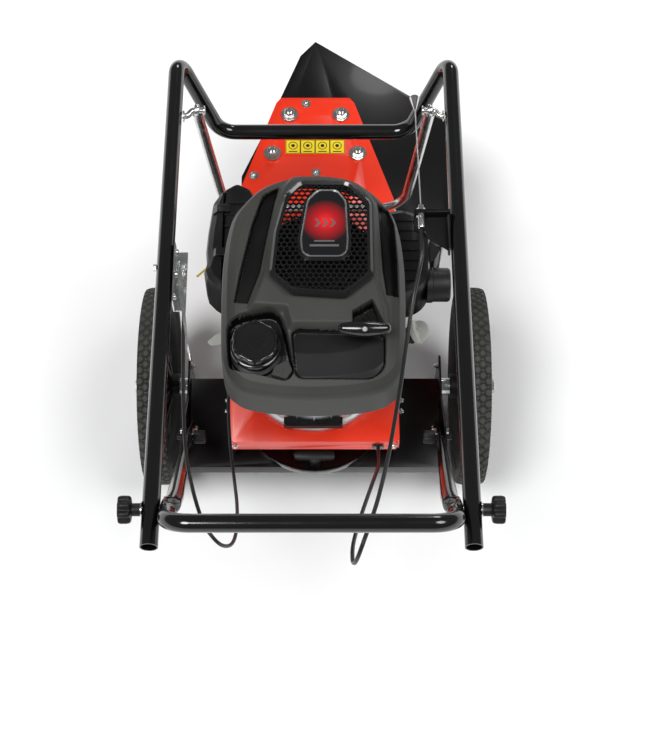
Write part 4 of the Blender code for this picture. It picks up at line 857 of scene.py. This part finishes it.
def make_air_cleaner():
    plan = [(-0.1338, 0.1255), (-0.141, 0.1215), (-0.15, 0.106), (-0.156, 0.056), (-0.158, 0.024),
            (-0.1565, 0.005), (-0.16, -0.01), (-0.156, -0.024), (-0.145, -0.036), (-0.1338, -0.044)]
    bm, rings = bmesh.new(), []
    mid_y, flat_x = 0.03, -0.134
    for z, inset in ((0.3305, 0.006), (0.338, 0.0), (0.405, 0.0), (0.415, 0.003), (0.4235, 0.011)):
        rings.append([Vector((min(x + inset, flat_x - 0.0006) if x < flat_x else x,
                              mid_y + (y - mid_y) * (1 - inset * 6), z)) for x, y in plan])
    skin(bm, rings)
    cover = piece("air_cleaner_lid", bm, "plastic", "air_cover", "air_cleaner_cover", 25)
    bevel(cover, 0.0016, 3, 20)
    bm = bmesh.new()
    for y in (0.088, 0.014):
        extrude(bm, [(-0.15, 0.418), (-0.142, 0.4285), (-0.123, 0.4285), (-0.123, 0.424), (-0.14, 0.4235),
                     (-0.147, 0.415)], y - 0.0065, y + 0.0065, "XZ")
        block(bm, (-0.133, y - 0.0085, 0.414), (-0.118, y + 0.0085, 0.4225))
    clips = piece("air_cleaner_clips", bm, "gloss", "air_cover", angle=30)
    bevel(clips, 0.001, 2)
    base = [(-0.1335, 0.126), (-0.115, 0.138), (-0.095, 0.128), (-0.08, 0.095), (-0.08, -0.03),
            (-0.094, -0.036), (-0.103, -0.044), (-0.1335, -0.04)]
    bm = bmesh.new()
    skin(bm, layers(*[(round_corners(grow(base, g), 0.005), z) for z, g in (
        (0.332, -0.004), (0.336, 0.0), (0.413, 0.0), (0.418, -0.003), (0.42, -0.009))]))
    block(bm, (-0.133, -0.098, 0.332), (-0.104, -0.03, 0.3497))
    for y in (0.1, 0.06, 0.02, -0.02):
        block(bm, (-0.131, y - 0.0015, 0.419), (-0.096, y + 0.0015, 0.423))
    piece("air_cleaner_case", bm, "plastic", "chassis", "air_cleaner_base", 25)


def make_muffler():
    guard = [(0.096, -0.042), (0.134, -0.049), (0.156, -0.038), (0.168, -0.022), (0.17, 0.05),
             (0.156, 0.085), (0.13, 0.095), (0.08, 0.085), (0.08, -0.01)]
    bm = bmesh.new()
    skin(bm, layers(*[(round_corners(grow(guard, g), 0.008), z) for z, g in (
        (0.335, -0.003), (0.338, 0.0), (0.408, 0.0), (0.415, -0.003), (0.42, -0.01))]))
    for k in range(7):
        y = -0.03 + 0.0165 * k
        block(bm, (0.108, y, 0.419), (0.152, y + 0.006, 0.422))
    block(bm, (0.0605, 0.012, 0.345), (0.082, 0.05, 0.4))
    piece("muffler_guard", bm, "satin", "chassis", "muffler", 30)
    bm = bmesh.new()
    at = (0.165, -0.015, 0.38)
    turn(bm, ((0.0, 0.0), (0.0265, 0.0), (0.0265, 0.008), (0.025, 0.009), (0.025, 0.0305), (0.024, 0.033),
              (0.0215, 0.0345), (0.015, 0.0346), (0.014, 0.033), (0.0, 0.033)), at, (1, 0, 0), 56)
    lug = [(0.166, 0.008), (0.176, 0.012), (0.185, 0.03), (0.17, 0.046), (0.166, 0.044)]
    extrude(bm, round_corners(lug, 0.002), 0.365, 0.405)
    piece("exhaust_canister", bm, "plastic", "chassis", angle=32)


def make_fillers():
    start, end = Vector((0.106, -0.0762, 0.3019)), Vector((0.146, -0.0676, 0.3231))
    aim = (end - start).normalized()
    bm = bmesh.new()
    length = (end - start).length
    turn(bm, ((0.0, 0.0), (0.011, 0.0), (0.0105, length * 0.4), (0.011, length - 0.008),
              (0.0128, length - 0.006), (0.0128, length), (0.0, length)), start, aim, 36)
    piece("oil_filler_tube", bm, "plastic", "chassis", "oil_filler")
    bm = bmesh.new()
    turn(bm, ((0.0, 0.0003), (0.013, 0.0003), (0.0175, 0.002), (0.019, 0.006), (0.0186, 0.0095),
              (0.015, 0.0112), (0.0, 0.0116)), end, aim, 56)
    side = aim.cross(Vector((0, 0, 1))).normalized()
    up = side.cross(aim).normalized()
    section = ((1, 0.6), (0.85, 1), (-0.85, 1), (-1, 0.6), (-1, -0.6), (-0.85, -1), (0.85, -1), (1, -0.6))
    for across, flank, wide, share, top in ((side, up, 0.0034, 1, 0.0262), (up, -side, 0.0016, 0.7, 0.016)):
        skin(bm, [[end + aim * min(lift, top) + across * (reach * share * c) + flank * (wide * d)
                   for c, d in section]
                  for lift, reach in ((0.008, 0.0176), (0.017, 0.016), (0.024, 0.011), (0.0262, 0.005))])
    piece("oil_fill_cap", bm, "grey", "oil_cap", "oil_cap", 40)
    lever = [(-0.156, -0.095), (-0.15, -0.101), (-0.134, -0.098), (-0.124, -0.09), (-0.124, -0.08),
             (-0.134, -0.079), (-0.144, -0.083)]
    bm = extrude(bmesh.new(), round_corners(lever, 0.0025), 0.35, 0.3538)
    turn(bm, ((0.0, 0.0), (0.0055, 0.0), (0.0055, 0.002), (0.0, 0.003)), (-0.13, -0.0875, 0.3535), sides=24)
    bevel(piece("fuel_tap_lever", bm, "grey", "fuel_valve", "fuel_valve", 35), 0.0006)


# ---- controls ----
ADJUSTER, CLUTCH_X = 0.425, 0.143   # the cable adjuster's distance along the upper handle, and its x


def lay_cable(node, points, radius):
    """A control cable swept as a fixed tube along its smooth route, past the folding joint, on no body."""
    route = smooth_route(points, 0.004)
    bm = sweep(bmesh.new(), route, radius, 16)
    cable = piece(node + "_sheath", bm, "cable", "chassis", node, 60, ride=False)
    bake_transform(cable)


def make_cables():
    y, z = upper_point(ADJUSTER)
    clutch = [(CLUTCH_X, y - 0.022, z + 0.0085), (CLUTCH_X, y - 0.042, z + 0.0083), (0.1415, -0.11, 0.618),
              (0.13, -0.16, 0.585), (0.115, -0.26, 0.575), (0.098, -0.36, 0.585), (0.083, -0.43, 0.605),
              (0.072, -0.47, 0.618), (0.063, -0.496, 0.618), (0.056, -0.511, 0.602),
              (0.052, -0.5115, 0.58), (0.05, -0.498, 0.558), (0.052, -0.468, 0.532),
              (0.062, -0.42, 0.492), (0.078, -0.35, 0.42), (0.09, -0.29, 0.335), (0.094, -0.26, 0.288),
              (0.095, -0.242, 0.264), (0.095, -0.222, 0.25), (0.095, -0.195, 0.2465)]
    lay_cable("clutch_cable", clutch, 0.0027)
    throttle = [(-0.167, -0.179, 0.608), (-0.1665, -0.21, 0.606), (-0.164, -0.29, 0.6),
                (-0.158, -0.37, 0.598), (-0.148, -0.42, 0.6), (-0.134, -0.465, 0.605),
                (-0.122, -0.485, 0.605), (-0.11, -0.492, 0.59), (-0.1, -0.48, 0.56), (-0.098, -0.44, 0.5),
                (-0.102, -0.38, 0.43), (-0.11, -0.32, 0.38), (-0.118, -0.26, 0.36), (-0.122, -0.2, 0.36),
                (-0.121, -0.14, 0.365), (-0.119, -0.099, 0.365)]
    lay_cable("throttle_cable", throttle, 0.0024)


def make_adjuster():
    y, z = upper_point(ADJUSTER)
    at = Vector((CLUTCH_X, y, z + 0.0085))
    bm = bmesh.new()
    turn(bm, ((0.0, -0.021), (0.004, -0.021), (0.0045, -0.02), (0.0045, -0.006), (0.0033, -0.006),
              (0.0033, 0.014), (0.0022, 0.0148), (0.0, 0.0148)), at, (0, 1, 0), 24)
    for k in range(6):
        start = -0.0195 + 0.0022 * k
        turn(bm, ((0.004, start), (0.005, start + 0.0005), (0.004, start + 0.0012)), at, (0, 1, 0), 24)
    for low, high in ((-0.0058, -0.0013), (0.0044, 0.0086)):
        turn(bm, collar(0.003, 0.0062, low, high), at, (0, 1, 0), 6)
    piece("barrel_adjuster", bm, "zinc", "upper_handle", "cable_adjuster", 30)

    hook = Vector((0.142, BAIL.y, BAIL.z)) + BAIL_DIR * 0.02 + Vector((0, 0.012, 0.004))
    leave = at + Vector((0, 0.0143, 0))
    aim = (hook - leave).normalized()
    bm = sweep(bmesh.new(), [leave.lerp(hook, k / 20) for k in range(21)], 0.0009, 10)
    wire = piece("clutch_inner_wire", bm, "steel", "upper_handle", "clutch_wire", 60, ride=False)
    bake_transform(wire)
    bm = bmesh.new()
    turn(bm, ((0.0, 0.0), (0.0018, 0.0), (0.0024, 0.003), (0.004, 0.01), (0.006, 0.019), (0.007, 0.0235),
              (0.0064, 0.0244), (0.005, 0.0225), (0.003, 0.012), (0.0, 0.011)), hook, aim, 36)
    piece("cable_end_cone", bm, "zinc", "bail", "cable_clip", 45)


def make_throttle():
    y, z = upper_point(0.335)
    inner = UPPER_X - TUBE_R - 0.0003
    bm = bmesh.new()
    block(bm, (-inner, y - 0.044, z - 0.02), (-inner + 0.002, y + 0.044, z + 0.009))
    block(bm, (-inner + 0.001, y - 0.044, z - 0.02), (-0.165, y + 0.044, z - 0.018))
    block(bm, (-0.1685, y - 0.044, z - 0.02), (-0.1665, y - 0.03, z - 0.005))
    bevel(piece("throttle_channel", bm, "zinc", "upper_handle", "throttle_bracket", 30), 0.0006)
    bm = bmesh.new()
    pivot = Vector((-inner + 0.0023, y, z + 0.001))
    turn(bm, ((0.0, 0.0), (0.0055, 0.0), (0.0055, 0.004), (0.003, 0.0042), (0.003, 0.014), (0.0, 0.0145)),
         pivot, (1, 0, 0), 20)
    turn(bm, ((0.0, 0.0078), (0.0058, 0.0078), (0.0058, 0.0112), (0.0048, 0.012), (0.0, 0.0122)), pivot,
         (1, 0, 0), 6)
    for dy in (-0.033, 0.033):
        turn(bm, topped(0.0042, 0.0, 0.0028, 0.003, 0.0036),
             pivot + Vector((-0.0003, dy, 0)), (1, 0, 0), 18)
    turn(bm, ((0.0, 0.0), (0.0048, 0.0), (0.0048, 0.004), (0.0, 0.0046)), (-0.2036, y + 0.01, z),
         (-1, 0, 0), 6)
    piece("throttle_fixings", bm, "zinc", "upper_handle", angle=30)


def dress_cad():
    """Materials, welded corners and rounded edges for the CAD nodes that stay."""
    for mat, width, names in (
            ("orange", 0.0007, "deck"), ("satin", 0.0005, "rear_frame cable_bracket"),
            ("satin", 0.0004, "debris_shield"), ("black", 0.0006, "belt_guard"),
            ("plastic", 0.0008, "belt_guard_knob"), ("zinc", 0.0004, "throttle_lever idler_arm"),
            ("steel", 0.0, "crankshaft spindle_pulley spindle_shaft line_head support_dish idler_pulley"),
            ("alloy", 0.0005, "spindle_housing"), ("cable", 0.0005, "drive_belt"),
            ("line", 0.0, "cutting_line_1 cutting_line_2"), ("plastic", 0.0015, "fuel_tank"),
            ("plastic", 0.0, "recoil_starter")):
        for name in names.split():
            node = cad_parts[name]
            node.data.materials.clear()
            node.data.materials.append(MAT[mat])
            node.data.shade_smooth()
            node.modifiers.new("weld", "WELD").merge_threshold = 1e-5
            if width:
                bevel(node, width, 2, 30)
            node.modifiers.new("crease", "EDGE_SPLIT").split_angle = radians(38)


# ---- stage ----
def sun_light(name, place, softness, strength):
    """A far soft source that shines from the given side towards the mower."""
    lamp = bpy.data.lights.new(name, "SUN")
    lamp.angle = radians(softness)
    lamp.energy = strength
    obj = add_object(name, lamp)
    obj.location = place
    obj.rotation_euler = (-Vector(place)).to_track_quat("-Z", "Y").to_euler()


def make_stage():
    world = bpy.data.worlds.new("studio")
    bpy.context.scene.world = world
    world.use_nodes = True
    set_inputs(world.node_tree.nodes["Background"], Color=(0.95, 0.97, 1.0, 1.0), Strength=0.17)
    half, z = 60.0, -0.0005
    mesh = bpy.data.meshes.new("floor")
    mesh.from_pydata([(-half, -half, z), (half, -half, z), (half, half, z), (-half, half, z)], [],
                     [(0, 1, 2, 3)])
    floor = add_object("floor", mesh)
    pale = bpy.data.materials.new("pale_floor")
    pale.use_nodes = True
    set_inputs(pale.node_tree.nodes["Principled BSDF"], Base_Color=(0.96, 0.96, 0.96, 1.0), Roughness=0.9)
    mesh.materials.append(pale)
    sun_light("key", (-0.9, -0.8, 2.4), 24, 2.15)
    sun_light("fill", (1.3, -0.4, 2.3), 28, 1.35)
    sun_light("rim", (0.5, 2.2, 1.2), 12, 0.35)
    camera = bpy.data.cameras.new("camera")
    camera.lens = 76.8
    camera.sensor_width = 36.0
    rig = add_object("camera", camera)
    rig.location = (0.016, -1.1456, 2.443)
    rig.rotation_euler = (radians(25.5), 0.0, 0.0)
    bpy.context.scene.camera = rig
    bpy.context.scene.view_settings.view_transform = "Standard"


make_stage()
make_upper_handle()
make_lower_handle()
make_bail()
make_knobs()
for wheel_side, wheel_word in SIDES:
    make_tyre(wheel_side, wheel_word)
    make_rim(wheel_side, wheel_word)
    make_axle(wheel_side, wheel_word)
make_deck_details()
make_shroud()
make_screen()
make_fan()
make_screen_frame()
make_badge()
make_fuel_cap()
make_recoil()
make_engine_block()
make_air_cleaner()
make_muffler()
make_fillers()
make_cables()
make_adjuster()
make_throttle()
dress_cad()
